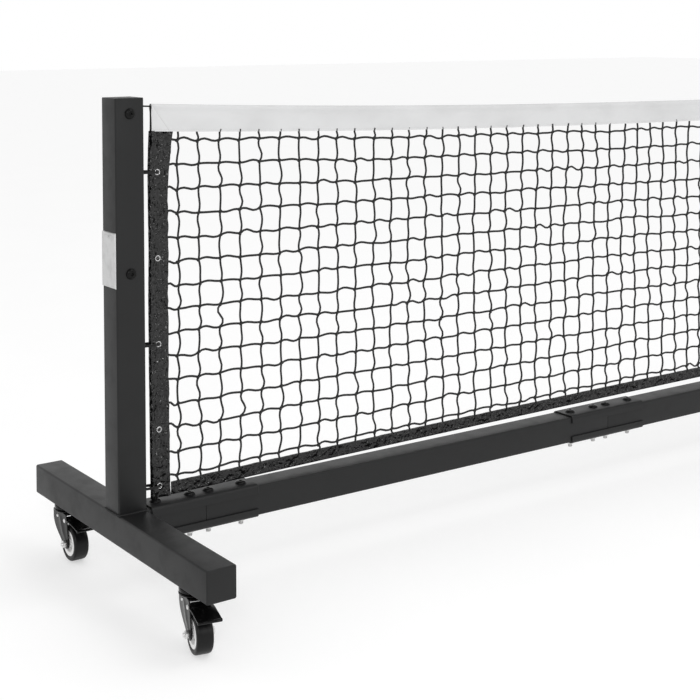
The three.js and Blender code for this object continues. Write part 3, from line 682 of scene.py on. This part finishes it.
def knots(centre, lean, radius=0.0035, around=6):
    """Many knots at once: a cord's width swells, is nipped by a wrap and swells again along a short
    slanting axis in the net's plane."""
    along = np.array([-1, -0.8, -0.45, -0.12, 0.12, 0.45, 0.8, 1]) * 0.0042
    swell = np.array([0.35, 0.85, 1.0, 0.84, 0.84, 1.0, 0.85, 0.35]) * radius
    turn = np.linspace(0, 2 * np.pi, around, endpoint=False)
    axis = np.stack([np.cos(lean), 0 * lean, np.sin(lean)], -1)[:, None, None]
    across = np.stack([-np.sin(lean), 0 * lean, np.cos(lean)], -1)[:, None, None]
    out = np.array([0.0, -1.0, 0.0])
    ring = across * np.cos(turn)[None, None, :, None] + out * np.sin(turn)[None, None, :, None] * 1.05
    points = centre[:, None, None] + axis * along[:, None, None] + ring * swell[:, None, None]
    return many_skins(points, along[None, :, None])


def gathered(parts):
    """Several (points, faces, uv) sets as one, each set's faces moved past the points before it."""
    points, faces, uv, before = [], [[], []], [], 0
    for place, face_sets, maps in parts:
        for kept, found in zip(faces, face_sets):
            kept.append(found + before)
        points.append(place)
        uv.append(maps)
        before += len(place)
    return np.concatenate(points), [np.concatenate(kept) for kept in faces], np.concatenate(uv)


dice = np.random.default_rng(31)
column = np.arange(COLUMNS)[:, None]
row = np.arange(ROWS)[None]
even_x = (column - (COLUMNS - 1) / 2) * PITCH + 0.0 * row
down = row / (ROWS - 1) + 0.0 * column
from_edge = NET_HALF - np.abs(even_x)
lean_out = -np.sign(even_x) * 0.011 * down * np.exp(-from_edge / 0.35)
drift = 0.006 * clouds(even_x / 0.21, down * 2.4, 3) + 0.0028 * clouds(even_x / 0.06, down * 9, 4)
knot_x = even_x - lean_out + drift + dice.normal(0, 0.0006, even_x.shape)
first_row = net_top(even_x) - TAPE_HEIGHT - 0.016 - 0.004 * np.exp(-from_edge / 0.08)
last_row = net_foot(even_x) + BAND_HALF + 0.010
slack = 0.004 * clouds(even_x / 0.25 + 9, down * 3, 5) * np.sin(np.pi * np.clip(down + 0.12, 0, 1))
slack = slack + 0.0017 * clouds(even_x / 0.07, down * 8, 6)
knot_z = first_row + (last_row - first_row) * down + slack + dice.normal(0, 0.0005, even_x.shape)
knot_y = 0.0012 * clouds(even_x / 0.3, down * 3, 7)
knot_at = np.stack([knot_x, knot_y, knot_z], -1)
flat = np.zeros(COLUMNS)
above_x = knot_x[:, 0] + dice.normal(0.001, 0.0018, COLUMNS)
below_x = knot_x[:, -1] + dice.normal(0, 0.0015, COLUMNS)
above = np.stack([above_x, flat, net_top(knot_x[:, 0]) - 0.046], -1)
below = np.stack([below_x, flat, net_foot(knot_x[:, 0]) + 0.006], -1)
upright = np.concatenate([above[:, None], knot_at, below[:, None]], 1)
edge_x = NET_HALF - 0.032
side_ends = [
    np.stack([np.full(ROWS, out * edge_x), np.zeros(ROWS), height + dice.normal(0.003, 0.002, ROWS)], -1)
    for out, height in ((-1, knot_z[0]), (1, knot_z[-1]))
]
level = np.concatenate([side_ends[0][None], knot_at, side_ends[1][None]], 0)
down_start, down_end = upright[:, :-1].reshape(-1, 3), upright[:, 1:].reshape(-1, 3)
over_start, over_end = level[:-1].reshape(-1, 3), level[1:].reshape(-1, 3)


def panel_of(x):
    """Which sixth of the net's width a place along it falls in."""
    return np.clip(((x / OUTER + 1) * 3).astype(int), 0, 5)


for panel in range(6):
    d, o = panel_of(down_start[:, 0]) == panel, panel_of(over_start[:, 0]) == panel
    k = panel_of(knot_at[..., 0].ravel()) == panel
    short = np.clip(np.linalg.norm(down_end - down_start, axis=1)[d] / PITCH, 0, 1)
    bow, sway = dice.normal(0.0017, 0.0021, d.sum()), dice.normal(-0.0014, 0.0014, d.sum())
    downward = strands(down_start[d], down_end[d], bow * short, sway * short, TWINE)
    bow, sway = dice.normal(0.0015, 0.0015, o.sum()), dice.normal(0.0010, 0.0012, o.sum())
    crossing = strands(over_start[o], over_end[o], bow, sway, TWINE)
    tied = knots(knot_at.reshape(-1, 3)[k], dice.normal(0.75, 0.25, k.sum()))
    points, faces, uv = gathered([downward, crossing, tied])
    twine = mesh_piece(f"net_panel_{panel + 1}", points, faces, braid, "frame", "twine", uv=uv, sharp=80)
    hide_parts("net_mesh")

# ------------------------------------------------------------
# Top tape
# A strip of white vinyl-coated cloth folded over the headline and sewn through both layers just
# above its lower edge. The ends are mitred: each is creased on a slant before it is sewn down.
# ------------------------------------------------------------


def folded_section(width, fold, half, wall, steps=14, fold_steps=9):
    """The section of a strip folded lengthwise: (across, depth) points, across measured from the
    fold. Out along the front face, a round fold, the back face, and the same again one wall inside.
    The faces pinch from the fold's radius to half the strip's thickness by a bell curve."""
    flat = np.linspace(width, fold, steps)
    turn = np.radians(np.linspace(-90, 90, fold_steps))[1:-1]

    def path(inset):
        pinch = np.exp(-(((flat - fold) / (1.4 * fold)) ** 2))
        depth = half - inset + (fold - half) * pinch
        front = np.stack([flat, -depth], -1)
        bend = np.stack([fold - (fold - inset) * np.cos(turn), (fold - inset) * np.sin(turn)], -1)
        return np.vstack([front, bend, (front * (1, -1))[::-1]])

    return np.vstack([path(0.0), path(wall)[::-1]])


def folded_strip(name, run, section, place, ripple, material, slot):
    """A folded strip: the section carried along run, every point put in place by place(run, across,
    depth) after ripple(run, across, side) has moved it in depth. Its ends are closed."""
    s = np.broadcast_to(run[:, None], (len(run), len(section)))
    across = np.broadcast_to(section[None, :, 0], s.shape)
    depth = section[None, :, 1] + ripple(s, across, np.sign(section[None, :, 1]))
    rings = place(s, across, depth)
    uv = np.stack([s, across], -1).reshape(-1, 2)
    return skin(name, rings, material, "frame", slot, uv=uv, sharp=70)


TAPE_END = NET_HALF - 0.003
STITCH_ROW = 0.0468


def from_crease(inward, across):
    """How far a point lies inside the slanting crease, which starts 6 mm from the tape's end, 8 mm
    below the fold, and goes 0.75 mm further in for every millimetre down."""
    return inward - 0.006 - (across - 0.008) * 0.75


def white_vinyl(start):
    """Coated cloth: a 1.2 mm weave under the coating, grey handling marks, a row of 4 mm stitches near the
    lower edge, and painted shade: a darker line along each end's slanting crease."""
    place = start.node("UVMap", out="UV", uv_map="UVMap")
    run, across = place.axis("X"), place.axis("Y")
    line = ((across - STITCH_ROW).math("ABSOLUTE") / 0.0006).ramp((0.6, 1.0), (1.0, 0.0))
    dash = (run * 1570.0).math("SINE").ramp((0.25, 0.0), (0.4, 1.0))
    stitch = line * dash
    weave = (run * 5200.0).math("SINE") * (across * 5200.0).math("SINE")
    marks = noise(start, 7.0, 5.0, (1, 1, 2)).ramp((0.42, 0.0), (0.75, 1.0))
    slant = from_crease(TAPE_END - run.math("ABSOLUTE"), across)
    # Painted shade: a darker line along the slanting crease at each end, standing in for the fold's shade.
    crease = (slant.math("ABSOLUTE") / 0.0016).ramp((0.0, 1.0), (1.0, 0.0))
    rumple = noise(start, 22.0, 4.0)
    return {
        "Base Color": (stitch * 0.5 + marks * 0.45 + crease * 0.7).mix(grey(0.67, -0.004), grey(0.49)),
        "Roughness": marks * 0.15 + 0.42,
        "Normal": (weave * 0.05 + rumple * 1.6 - stitch * 0.8).bump(0.35, 0.0008),
    }


white_tape = finish_of("white_vinyl_tape", white_vinyl, Specular_IOR_Level=0.4)
near_end = np.linspace(0, 0.07, 36)
long_middle = np.linspace(-TAPE_END + 0.08, TAPE_END - 0.08, 640)
tape_run = np.concatenate([-TAPE_END + near_end, long_middle, TAPE_END - near_end[::-1]])


def tape_ripple(s, across, side):
    """Slow waves, a puckered lower edge, and at each end a step down behind the slanting crease."""
    crease = from_crease(TAPE_END - np.abs(s), across)
    mitre = 0.0015 / (1 + np.exp(crease / 0.0007)) - 0.0011 * np.exp(-((crease / 0.0020) ** 2))
    wave = 0.0012 * clouds(s / 0.19, across / 0.05, 11)
    wave = wave + 0.0006 * clouds(s / 0.045 + across / 0.03, across / 0.04, 12)
    pucker = 0.0006 * clouds(s / 0.016, across / 0.02, 13) * np.clip((across - 0.03) / 0.02, 0, 1)
    below_fold = np.clip((across - 0.004) / 0.006, 0, 1)
    return (wave + pucker) * np.clip(across / 0.01, 0, 1) + side * mitre * below_fold


def tape_place(s, across, depth):
    """Hung down from the net's top line."""
    return np.stack([s, depth, net_top(s) - across], -1)


tape_section = folded_section(TAPE_HEIGHT, 0.005, 0.0019, 0.0009, steps=20)
tape = folded_strip(
    "top_tape_folded", tape_run, tape_section, tape_place, tape_ripple, white_tape, "white_vinyl"
)
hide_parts("top_tape")

# ------------------------------------------------------------
# Headline and edge cords
# Braided cords: the headline carries the tape from post to post and is knotted inside each of
# them; a stiffening rod stands in each side band's sleeve and shows beside the tape's end.
# ------------------------------------------------------------


def cord_along(name, path, radius, body, slot, around=10):
    """A round cord of one radius along a path of points, closed at both ends. Each section's two
    directions come from the path's own direction and one fixed slanting direction."""
    path = np.asarray(path, float)
    tangent = np.gradient(path, axis=0)
    tangent /= np.linalg.norm(tangent, axis=1, keepdims=True)
    first = np.cross(tangent, (0.52, 0.31, 0.79))
    first /= np.linalg.norm(first, axis=1, keepdims=True)
    second = np.cross(tangent, first)
    turn = np.linspace(0, 2 * np.pi, around, endpoint=False)[None, :, None]
    rings = path[:, None] + radius * (first[:, None] * np.cos(turn) + second[:, None] * np.sin(turn))
    run = np.concatenate([[0], np.cumsum(np.linalg.norm(np.diff(path, axis=0), axis=1))])
    u = np.broadcast_to(np.linspace(0, 1, around, endpoint=False)[None], rings.shape[:2])
    v = np.broadcast_to(run[:, None], rings.shape[:2])
    return skin(name, rings, braid, body, slot, uv=np.stack([u, v], -1).reshape(-1, 2), sharp=60)


def blended(a, b, c, d, t):
    """Catmull-Rom: the cubic from b to c whose slope at each is half the step between its neighbours."""
    square, cube = 2 * a - 5 * b + 4 * c - d, 3 * b - a - 3 * c + d
    return 0.5 * (2 * b + (c - a) * t + square * t**2 + cube * t**3)


def smooth_path(points, steps):
    """A rounded path through points: four-point Catmull-Rom blending, evenly many steps a span."""
    p = np.asarray(points, float)
    p = np.vstack([2 * p[0] - p[1], p, 2 * p[-1] - p[-2]])
    t = np.linspace(0, 1, steps, endpoint=False)[None, :, None]
    a, b, c, d = (p[k:len(p) - 3 + k, None] for k in range(4))
    return np.vstack([blended(a, b, c, d, t).reshape(-1, 3), p[-2:-1]])


line_x = np.linspace(-OUTER + 0.0316, OUTER - 0.0316, 260)
headline_path = np.stack([line_x, 0 * line_x, net_top(line_x) - 0.005], -1)
headline = cord_along("headline_braid", headline_path, 0.0015, "frame", "twine")
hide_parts("headline_cord")


def pull(height):
    """How far the ties draw the net's edge towards the post: nothing at the tape and 3.5 mm below."""
    return 0.0035 * np.clip((0.87 - height) / 0.1, 0, 1)


for side, out in (("left", 1), ("right", -1)):
    height = np.linspace(0.1722, 0.9010, 60)
    edge = out * (-NET_HALF + 0.0045 - pull(height))
    rod_path = np.stack([edge, 0 * height, height], -1)
    rod = cord_along(f"edge_rod_{side}", rod_path, 0.0030, "frame", "dowel")
    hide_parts(f"net_dowel_{side}")

# ------------------------------------------------------------
# Black vinyl bands
# Gloss black vinyl folded over the net's sides and foot, crumpled where the twine pulls it. The
# side bands hold nickel-plated grommets for the ties.
# ------------------------------------------------------------


def black_vinyl(start):
    """Glossy plastic film, creased all over by fine folds that break up its shine."""
    folds = noise(start, 48.0, 2.5)
    creases = noise(start, 120.0, 2.0, (1, 1, 0.5))
    ridge = (folds - 0.5).math("ABSOLUTE")
    scuff = noise(start, 35.0, 4.0).ramp((0.5, 0.0), (0.8, 1.0))
    return {
        "Base Color": scuff.mix(grey(0.003), grey(0.007)),
        "Roughness": scuff * 0.1 + 0.09,
        "Normal": (ridge * 2.4 + creases * 0.5).bump(1.0, 0.0065),
    }


gloss_vinyl = finish_of("gloss_black_vinyl", black_vinyl, Specular_IOR_Level=0.45)


def crumple(s, across, side):
    """Ridged random folds, sharper where two meet, fading out at the folded edge."""
    broad = 1 - np.abs(clouds(s / 0.028 + across / 0.05, across / 0.018, 21))
    fine = 1 - np.abs(clouds(s / 0.011, across / 0.009 + s / 0.03, 22))
    return (0.0034 * (broad - 0.6) + 0.0015 * (fine - 0.6)) * np.clip(across / 0.008, 0, 1)


band_end = NET_HALF - 0.040
band_run = np.linspace(-band_end, band_end, 1500)


def foot_place(s, across, depth):
    """Stood up from the fold, which is half the band's height below its middle."""
    return np.stack([s, depth, net_foot(s) - BAND_HALF + across], -1)


def foot_crumple(s, across, side):
    """The same folds, six tenths as deep."""
    return 0.6 * crumple(s, across, side)


foot_section = folded_section(2 * BAND_HALF, 0.0024, 0.0019, 0.0008, steps=9, fold_steps=7)
foot_band = folded_strip(
    "bottom_band_folded", band_run, foot_section, foot_place, foot_crumple, gloss_vinyl, "black_vinyl"
)
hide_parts("bottom_band")

GROMMETS = (0.7795, 0.6195, 0.4595, 0.2995, 0.1935)
BAND_RISE = 0.003
side_low, side_high = (np.array(corner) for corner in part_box("side_band_left"))


def nickel(start):
    """Nickel plate gone slightly cloudy."""
    cloud = noise(start, 400.0)
    return {"Base Color": cloud.mix(grey(0.42), grey(0.6)), "Roughness": cloud * 0.15 + 0.18}


nickel_plate = finish_of("nickel_plate", nickel, Metallic=1.0)


def grommet_x(height):
    """Where a grommet's middle stands on the left: 18 mm inside the net's edge as the ties draw it."""
    return -NET_HALF + 0.018 - pull(height)


for side, out in (("left", 1), ("right", -1)):
    side_run = np.linspace(side_low[2], side_high[2] + BAND_RISE, 230)

    def side_place(s, across, depth):
        """The band is 10 mm wider at its top corner, and leans to the post below the tape."""
        spread = 1 + 0.24 * np.clip((s - 0.72) / 0.135, 0, 1) ** 1.5
        wander = 0.0012 * clouds(s / 0.09, across * 0, 23)
        return np.stack([out * (-NET_HALF + across * spread + wander - pull(s)), depth, s], -1)

    side_section = folded_section(0.040, 0.0050, 0.0020, 0.0008, steps=18)
    name = f"side_band_{side}_folded"
    band = folded_strip(name, side_run, side_section, side_place, crumple, gloss_vinyl, "black_vinyl")
    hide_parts(f"side_band_{side}")
    for number, height in enumerate(GROMMETS):
        bulge = np.radians(np.linspace(0, 360, 16, endpoint=False))
        radius = 0.0047 + 0.0018 * np.cos(bulge)
        depth = 0.0034 * np.sin(bulge)
        turn = np.linspace(0, 2 * np.pi, 28, endpoint=False)
        x, z = radius[:, None] * np.cos(turn), radius[:, None] * np.sin(turn)
        grid = np.stack([x, np.broadcast_to(depth[:, None], x.shape), z], -1)
        grid = grid + (out * grommet_x(height), 0, height)
        skin(f"grommet_{side}_{number}", grid, nickel_plate, "frame", "zinc", ring_closed=True)

# ------------------------------------------------------------
# Ties
# Short lengths of 2.6 mm black braid, passed twice through the post's eye and the grommet, with
# the end left hanging behind the band.
# ------------------------------------------------------------
for side, out in (("left", 1), ("right", -1)):
    for place, height in TIED.items():
        eye, hole = -OUTER + TUBE + 0.0068, grommet_x(height)
        wrap = []
        for lift in (-0.0008, 0.0016):
            wrap += [
                (eye, 0.004, lift), (eye - 0.0006, -0.004, lift), (eye + 0.007, -0.0078, lift + 0.0004),
                (hole - 0.010, -0.0082, lift), (hole - 0.002, -0.0052, lift), (hole, 0.0, lift),
                (hole - 0.002, 0.0055, lift), (hole - 0.010, 0.0085, lift + 0.0006),
                (eye + 0.007, 0.0085, lift + 0.001),
            ]
        wrap += [(hole - 0.013, 0.0100, -0.002), (hole - 0.009, 0.0104, -0.009)]
        wrap += [(hole - 0.008, 0.0100, -0.017)]
        path = smooth_path(wrap, 6) * (out, 1, 1) + (0, 0, height)
        tie = cord_along(f"tie_{side}_{place}_braid", path, 0.0013, "frame", "twine", around=8)
        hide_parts(f"net_tie_{side}_{place}")

# ------------------------------------------------------------
# Casters
# 70 mm swivel casters, drawn round the swivel axis with the wheel trailing to the front, then
# turned to where each one stands. The stem with its cap stays with the frame, the rest turns.
# ------------------------------------------------------------
PLACES = ("left_front", "left_back", "right_front", "right_back")
joint = {entry["name"]: entry for entry in frame["record"]["behaviour"]["joints"]}
AXLE_Y, AXLE_Z = -0.030, 0.0350


def placed(place, points):
    """Points drawn round a swivel axis at the origin, turned so that X lies along that caster's axle
    and moved to its swivel axis."""
    across = np.array(joint[f"roll_{place}"]["axis"], float)
    back = np.array([-across[1], across[0], 0.0])
    pivot = np.array(joint[f"swivel_{place}"]["pos_m"], float) * (1, 1, 0)
    up = np.array([0.0, 0.0, 1.0])
    return pivot + points[..., 0:1] * across + points[..., 1:2] * back + points[..., 2:3] * up


def turned(profile, axis, centre, around):
    """A profile of (radius, depth) points turned about +X or +Z."""
    turn = np.linspace(0, 2 * np.pi, around, endpoint=False)[None]
    radius, depth = (np.array(column, float)[:, None] for column in zip(*profile))
    depth = depth + 0 * turn
    first, second = radius * np.cos(turn), radius * np.sin(turn)
    order = (depth, first, second) if axis == "X" else (first, second, depth)
    return np.stack(order, -1) + np.asarray(centre)


def smooth_loop(points, steps=5):
    """A closed rounded loop through points, by the same blending as smooth_path."""
    p = np.asarray(points, float)
    t = np.linspace(0, 1, steps, endpoint=False)[None, :, None]
    a, b, c, d = (np.roll(p, shift, axis=0)[:, None] for shift in (1, 0, -1, -2))
    return blended(a, b, c, d, t).reshape(-1, 2)


def pressed_plate(outline, middle, thickness, edge, press):
    """A plate lying across X, as rings from its middle out to the outline, round the edge by quarter
    circles and back: (depth, y, z). press(flat) dishes both faces alike."""
    span = outline - middle
    reach = np.linalg.norm(span, axis=1, keepdims=True)
    shares = np.array([0.04, 0.25, 0.45, 0.62, 0.76, 0.88, 0.95])
    roll = np.radians(np.linspace(90, 0, 4))
    faces = [(middle + span * share, thickness / 2) for share in shares]
    inward = span / reach * edge
    rounds = [(outline - inward * (1 - np.cos(a)), thickness / 2 - edge * (1 - np.sin(a))) for a in roll]
    half = faces + rounds
    both = half + [(flat, -depth) for flat, depth in half[::-1]]
    return np.stack([np.concatenate([depth + press(flat), flat], 1) for flat, depth in both])


def unpressed(flat):
    """A plate left flat."""
    return 0 * flat[:, :1]


def gloss_coat(start):
    """Gloss black electrocoat over pressed steel: a slight orange peel, and dust that dulls it."""
    peel = noise(start, 320.0, 2.0)
    dust = noise(start, 120.0, 4.0).ramp((0.5, 0.0), (0.8, 1.0))
    return {
        "Base Color": dust.mix(grey(0.003), grey(0.010)),
        "Roughness": dust * 0.18 + 0.16,
        "Normal": peel.bump(0.2, 0.0006),
    }


gloss_black = finish_of("gloss_black_coat", gloss_coat, Specular_IOR_Level=0.18)


def nylon(start):
    """Pale moulded nylon with patches of light road dust."""
    dust = noise(start, 160.0, 4.0).ramp((0.5, 0.0), (0.85, 1.0))
    shade = (dust * 0.35).mix(grey(0.88, 0.005), grey(0.6, 0.02))
    return {"Base Color": shade, "Roughness": dust * 0.2 + 0.35}


pale_nylon = finish_of("pale_nylon", nylon)


def rubber(start):
    """Black tyre rubber: satin, finely pored, with faint grey scuffs."""
    scuff = noise(start, 90.0, 5.0).ramp((0.5, 0.0), (0.85, 1.0))
    pores = noise(start, 900.0, 2.0)
    return {
        "Base Color": scuff.mix(grey(0.003), grey(0.009)),
        "Roughness": scuff * 0.25 + 0.38,
        "Normal": pores.bump(0.25, 0.0003),
    }


black_rubber = finish_of("black_rubber", rubber, Specular_IOR_Level=0.25)

leg_outline = smooth_loop(np.array([
    (0.0285, 0.091), (0.0292, 0.0815), (0.0285, 0.0715), (0.022, 0.0595), (0.010, 0.0485),
    (-0.006, 0.0375), (-0.018, 0.028), (-0.0245, 0.025), (-0.031, 0.0243), (-0.0385, 0.028),
    (-0.0408, 0.036), (-0.0392, 0.0475), (-0.0370, 0.0595), (-0.0345, 0.0735), (-0.0315, 0.0855),
    (-0.0285, 0.091), (-0.015, 0.0917), (0.0, 0.0917), (0.015, 0.0917),
])[::-1])
LEG_X, CHEEK_X, CROWN_Z = 0.01775, 0.0146, 0.0903


def leg_press(flat):
    """A long pressed rib from the crown to the axle, raised 1.2 mm, and a round boss at the axle."""
    y, z = flat[:, :1], flat[:, 1:]
    line = (y + 0.012 - (z - 0.0625) * 0.45) / 0.0065
    rib = np.exp(-(line**2)) * np.clip((z - 0.0425) / 0.01, 0, 1) * np.clip((0.0865 - z) / 0.008, 0, 1)
    boss = 1 / (1 + np.exp((np.hypot(y - AXLE_Y, z - AXLE_Z) - 0.0085) / 0.0006))
    return 0.0012 * rib + 0.0010 * boss


hub_profile = [
    (0.0044, -0.0135), (0.0082, -0.0135), (0.0088, -0.013), (0.0090, -0.0055), (0.0105, -0.0048),
    (0.0156, -0.0048), (0.0164, -0.0060), (0.0170, -0.0118), (0.0176, -0.0136), (0.0190, -0.0142),
    (0.0240, -0.0142), (0.0250, -0.0138), (0.0254, -0.0130), (0.0254, 0.0130), (0.0250, 0.0138),
    (0.0240, 0.0142), (0.0190, 0.0142), (0.0176, 0.0136), (0.0170, 0.0118), (0.0164, 0.0060),
    (0.0156, 0.0048), (0.0105, 0.0048), (0.0090, 0.0055), (0.0088, 0.013), (0.0082, 0.0135),
    (0.0044, 0.0135),
]
tyre_arc = np.radians(np.linspace(0, 90, 7))
shoulder = [(0.0305 + 0.0044 * np.sin(a), 0.0104 + 0.0044 * np.cos(a)) for a in tyre_arc]
half_tyre = [(0.0257, 0.0134), (0.0258, 0.0141), (0.0266, 0.0146), (0.0282, 0.0149)]
half_tyre += shoulder + [(0.0350, 0.0060), (0.0349, 0.0015)]
tyre_profile = [(r, -d) for r, d in half_tyre] + half_tyre[::-1]

raceway_profile = [
    (0.0062, 0.0888), (0.0160, 0.0888), (0.0200, 0.0900), (0.0235, 0.0917), (0.0262, 0.0920),
    (0.0272, 0.0930), (0.0272, 0.0943), (0.0262, 0.0953), (0.0245, 0.0957), (0.0235, 0.0965),
    (0.0225, 0.0967), (0.0062, 0.0967),
]
dust_cap_profile = [
    (0.0223, 0.0972), (0.0245, 0.0970), (0.0262, 0.0973), (0.0268, 0.0982), (0.0268, 0.1030),
    (0.0262, 0.1043), (0.0250, 0.1049), (0.0223, 0.1049),
]
crown_outline = smooth_loop(np.array([
    (0.0185, 0.0), (0.0185, 0.018), (0.0165, 0.0265), (0.008, 0.0288), (-0.008, 0.0288),
    (-0.0165, 0.0265), (-0.0185, 0.018), (-0.0185, 0.0), (-0.0185, -0.018), (-0.0175, -0.028),
    (-0.008, -0.0305), (0.008, -0.0305), (0.0175, -0.028), (0.0185, -0.018),
]))

tread_loop = smooth_loop(np.array([
    (-0.0366, 0.0822), (-0.0430, 0.0827), (-0.0560, 0.0817), (-0.0720, 0.079), (-0.0830, 0.0767),
    (-0.0868, 0.0771), (-0.0890, 0.0765), (-0.0896, 0.0743), (-0.0882, 0.0723), (-0.0858, 0.0725),
    (-0.0850, 0.0739), (-0.0830, 0.0743), (-0.0720, 0.0766), (-0.0560, 0.0792), (-0.0430, 0.0802),
    (-0.0366, 0.0797),
]), steps=4)
cheek_outline = smooth_loop(np.array([
    (-0.0175, 0.0775), (-0.0190, 0.082), (-0.0260, 0.0843), (-0.0400, 0.0837), (-0.0490, 0.082),
    (-0.0480, 0.078), (-0.0400, 0.0757), (-0.0300, 0.0743), (-0.0215, 0.074),
]))
tongue_loop = smooth_loop(np.array([
    (-0.0180, 0.0800), (-0.0185, 0.0835), (-0.0250, 0.0850), (-0.0400, 0.0835), (-0.0420, 0.0815),
    (-0.0400, 0.0800), (-0.0250, 0.0790),
]), steps=4)
nut_across = nut_rings(0.013, 0.0065, 0.004, 0.003)
bolt_head = (
    (0.0070, 0, 1), (0.0075, 0.0006, 1), (0.0075, 0.0042, 1), (0.0068, 0.0050, 0.8),
    (0.0045, 0.0051, 0), (0.0004, 0.0049, 0),
)
RIVETS = {"pedal": (-0.024, 0.0785, 0.0042), "stop": (0.008, 0.0805, 0.0032)}
TREAD_CENTRE = np.array([-0.0600, 0.0787])
half_tread = np.array([0.0212, 0.0210, 0.0205, 0.0195, 0.010])
tread_across = np.concatenate([-half_tread, [0.0], half_tread[::-1]])
tread_rounding = (0.0012, 0.0006, 0.0002, 0, 0, 0, 0, 0, 0.0002, 0.0006, 0.0012)
tread_out = tread_loop - TREAD_CENTRE
tread_out = tread_out / np.linalg.norm(tread_out, axis=1, keepdims=True)
tread = np.stack([tread_loop - tread_out * inset for inset in tread_rounding])
tread = laid(tread, tread_across, "X", (0, 0, 0))
tongue_out = tongue_loop - tongue_loop.mean(axis=0)
tongue = np.stack([tongue_loop - tongue_out * share for share in (0.04, 0.0, 0.0, 0.04)])
tongue = laid(tongue, (-0.0132, -0.0130, 0.0130, 0.0132), "X", (0, 0, 0))


def caster_piece(place, name, grid, *looks, **rest):
    """A skin drawn round the swivel axis, set where the caster stands."""
    return skin(f"caster_{place}_{name}", placed(place, grid), *looks, **rest)


for place in PLACES:
    swivel, wheel, brake = f"swivel_{place}", f"wheel_{place}", f"brake_{place}"
    frame["nodes"][f"caster_{place}_stem"].material_slots[0].material = gloss_black
    black = (gloss_black, swivel, "caster_black")
    cap = turned(dust_cap_profile, "Z", (0, 0, 0), 56)
    caster_piece(place, "dust_cap", cap, gloss_black, "frame", "caster_black", ring_closed=True)
    for name, sign in (("outer", -1), ("inner", 1)):
        leg = pressed_plate(leg_outline, np.array([-0.012, 0.0655]), 0.0025, 0.0009, leg_press)
        leg[..., 0] = sign * (leg[..., 0] + LEG_X)
        caster_piece(place, f"leg_{name}", leg, *black, sharp=50)
        for label, (y, z, size) in RIVETS.items():
            dome = [(size, 0), (size, 0.0006), (size * 0.8, 0.0017), (size * 0.4, 0.0022)]
            rivet = turned(dome + [(0.0001, 0.0023)], "X", (0, 0, 0), 20)
            rivet = rivet * (sign, 1, 1) + (sign * (LEG_X + 0.0012), y, z)
            caster_piece(place, f"{label}_rivet_{name}", rivet, zinc_plate, swivel, "zinc")
    crown = pressed_plate(crown_outline[:, ::-1], np.array([-0.001, 0.0]), 0.003, 0.0010, unpressed)
    crown = np.stack([crown[..., 2], crown[..., 1], crown[..., 0] + CROWN_Z], -1)
    caster_piece(place, "crown", crown, *black, sharp=50)
    race = turned(raceway_profile, "Z", (0, 0, 0), 56)
    caster_piece(place, "raceway", race, *black, ring_closed=True)
    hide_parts(f"caster_{place}_fork")
    for label, rings, sign in (("nut", nut_across, -1), ("bolt", bolt_head, 1)):
        grid = head_rings(rings, "X") * (sign, 1, 1) + (sign * (LEG_X + 0.0020), AXLE_Y, AXLE_Z)
        caster_piece(place, f"axle_{label}", grid, zinc_plate, swivel, "zinc", sharp=40)
    axle = (0, AXLE_Y, AXLE_Z)
    grid = turned(hub_profile, "X", axle, 56)
    hub = caster_piece(place, "hub_turned", grid, pale_nylon, wheel, "hub", ring_closed=True)
    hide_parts(f"caster_{place}_hub")
    grid = turned(tyre_profile, "X", axle, 72)
    tyre = caster_piece(place, "tyre_moulded", grid, black_rubber, wheel, "tyre", ring_closed=True)
    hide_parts(f"caster_{place}_tyre")
    black = (gloss_black, brake, "caster_black")
    pedal = caster_piece(place, "pedal_tread", tread, *black, sharp=50)
    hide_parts(f"caster_{place}_pedal")
    caster_piece(place, "pedal_tongue", tongue, *black, sharp=50)
    for name, sign in (("outer", -1), ("inner", 1)):
        cheek = pressed_plate(cheek_outline, np.array([-0.033, 0.0790]), 0.0022, 0.0007, unpressed)
        cheek[..., 0] += sign * CHEEK_X
        caster_piece(place, f"cheek_{name}", cheek, *black, sharp=50)
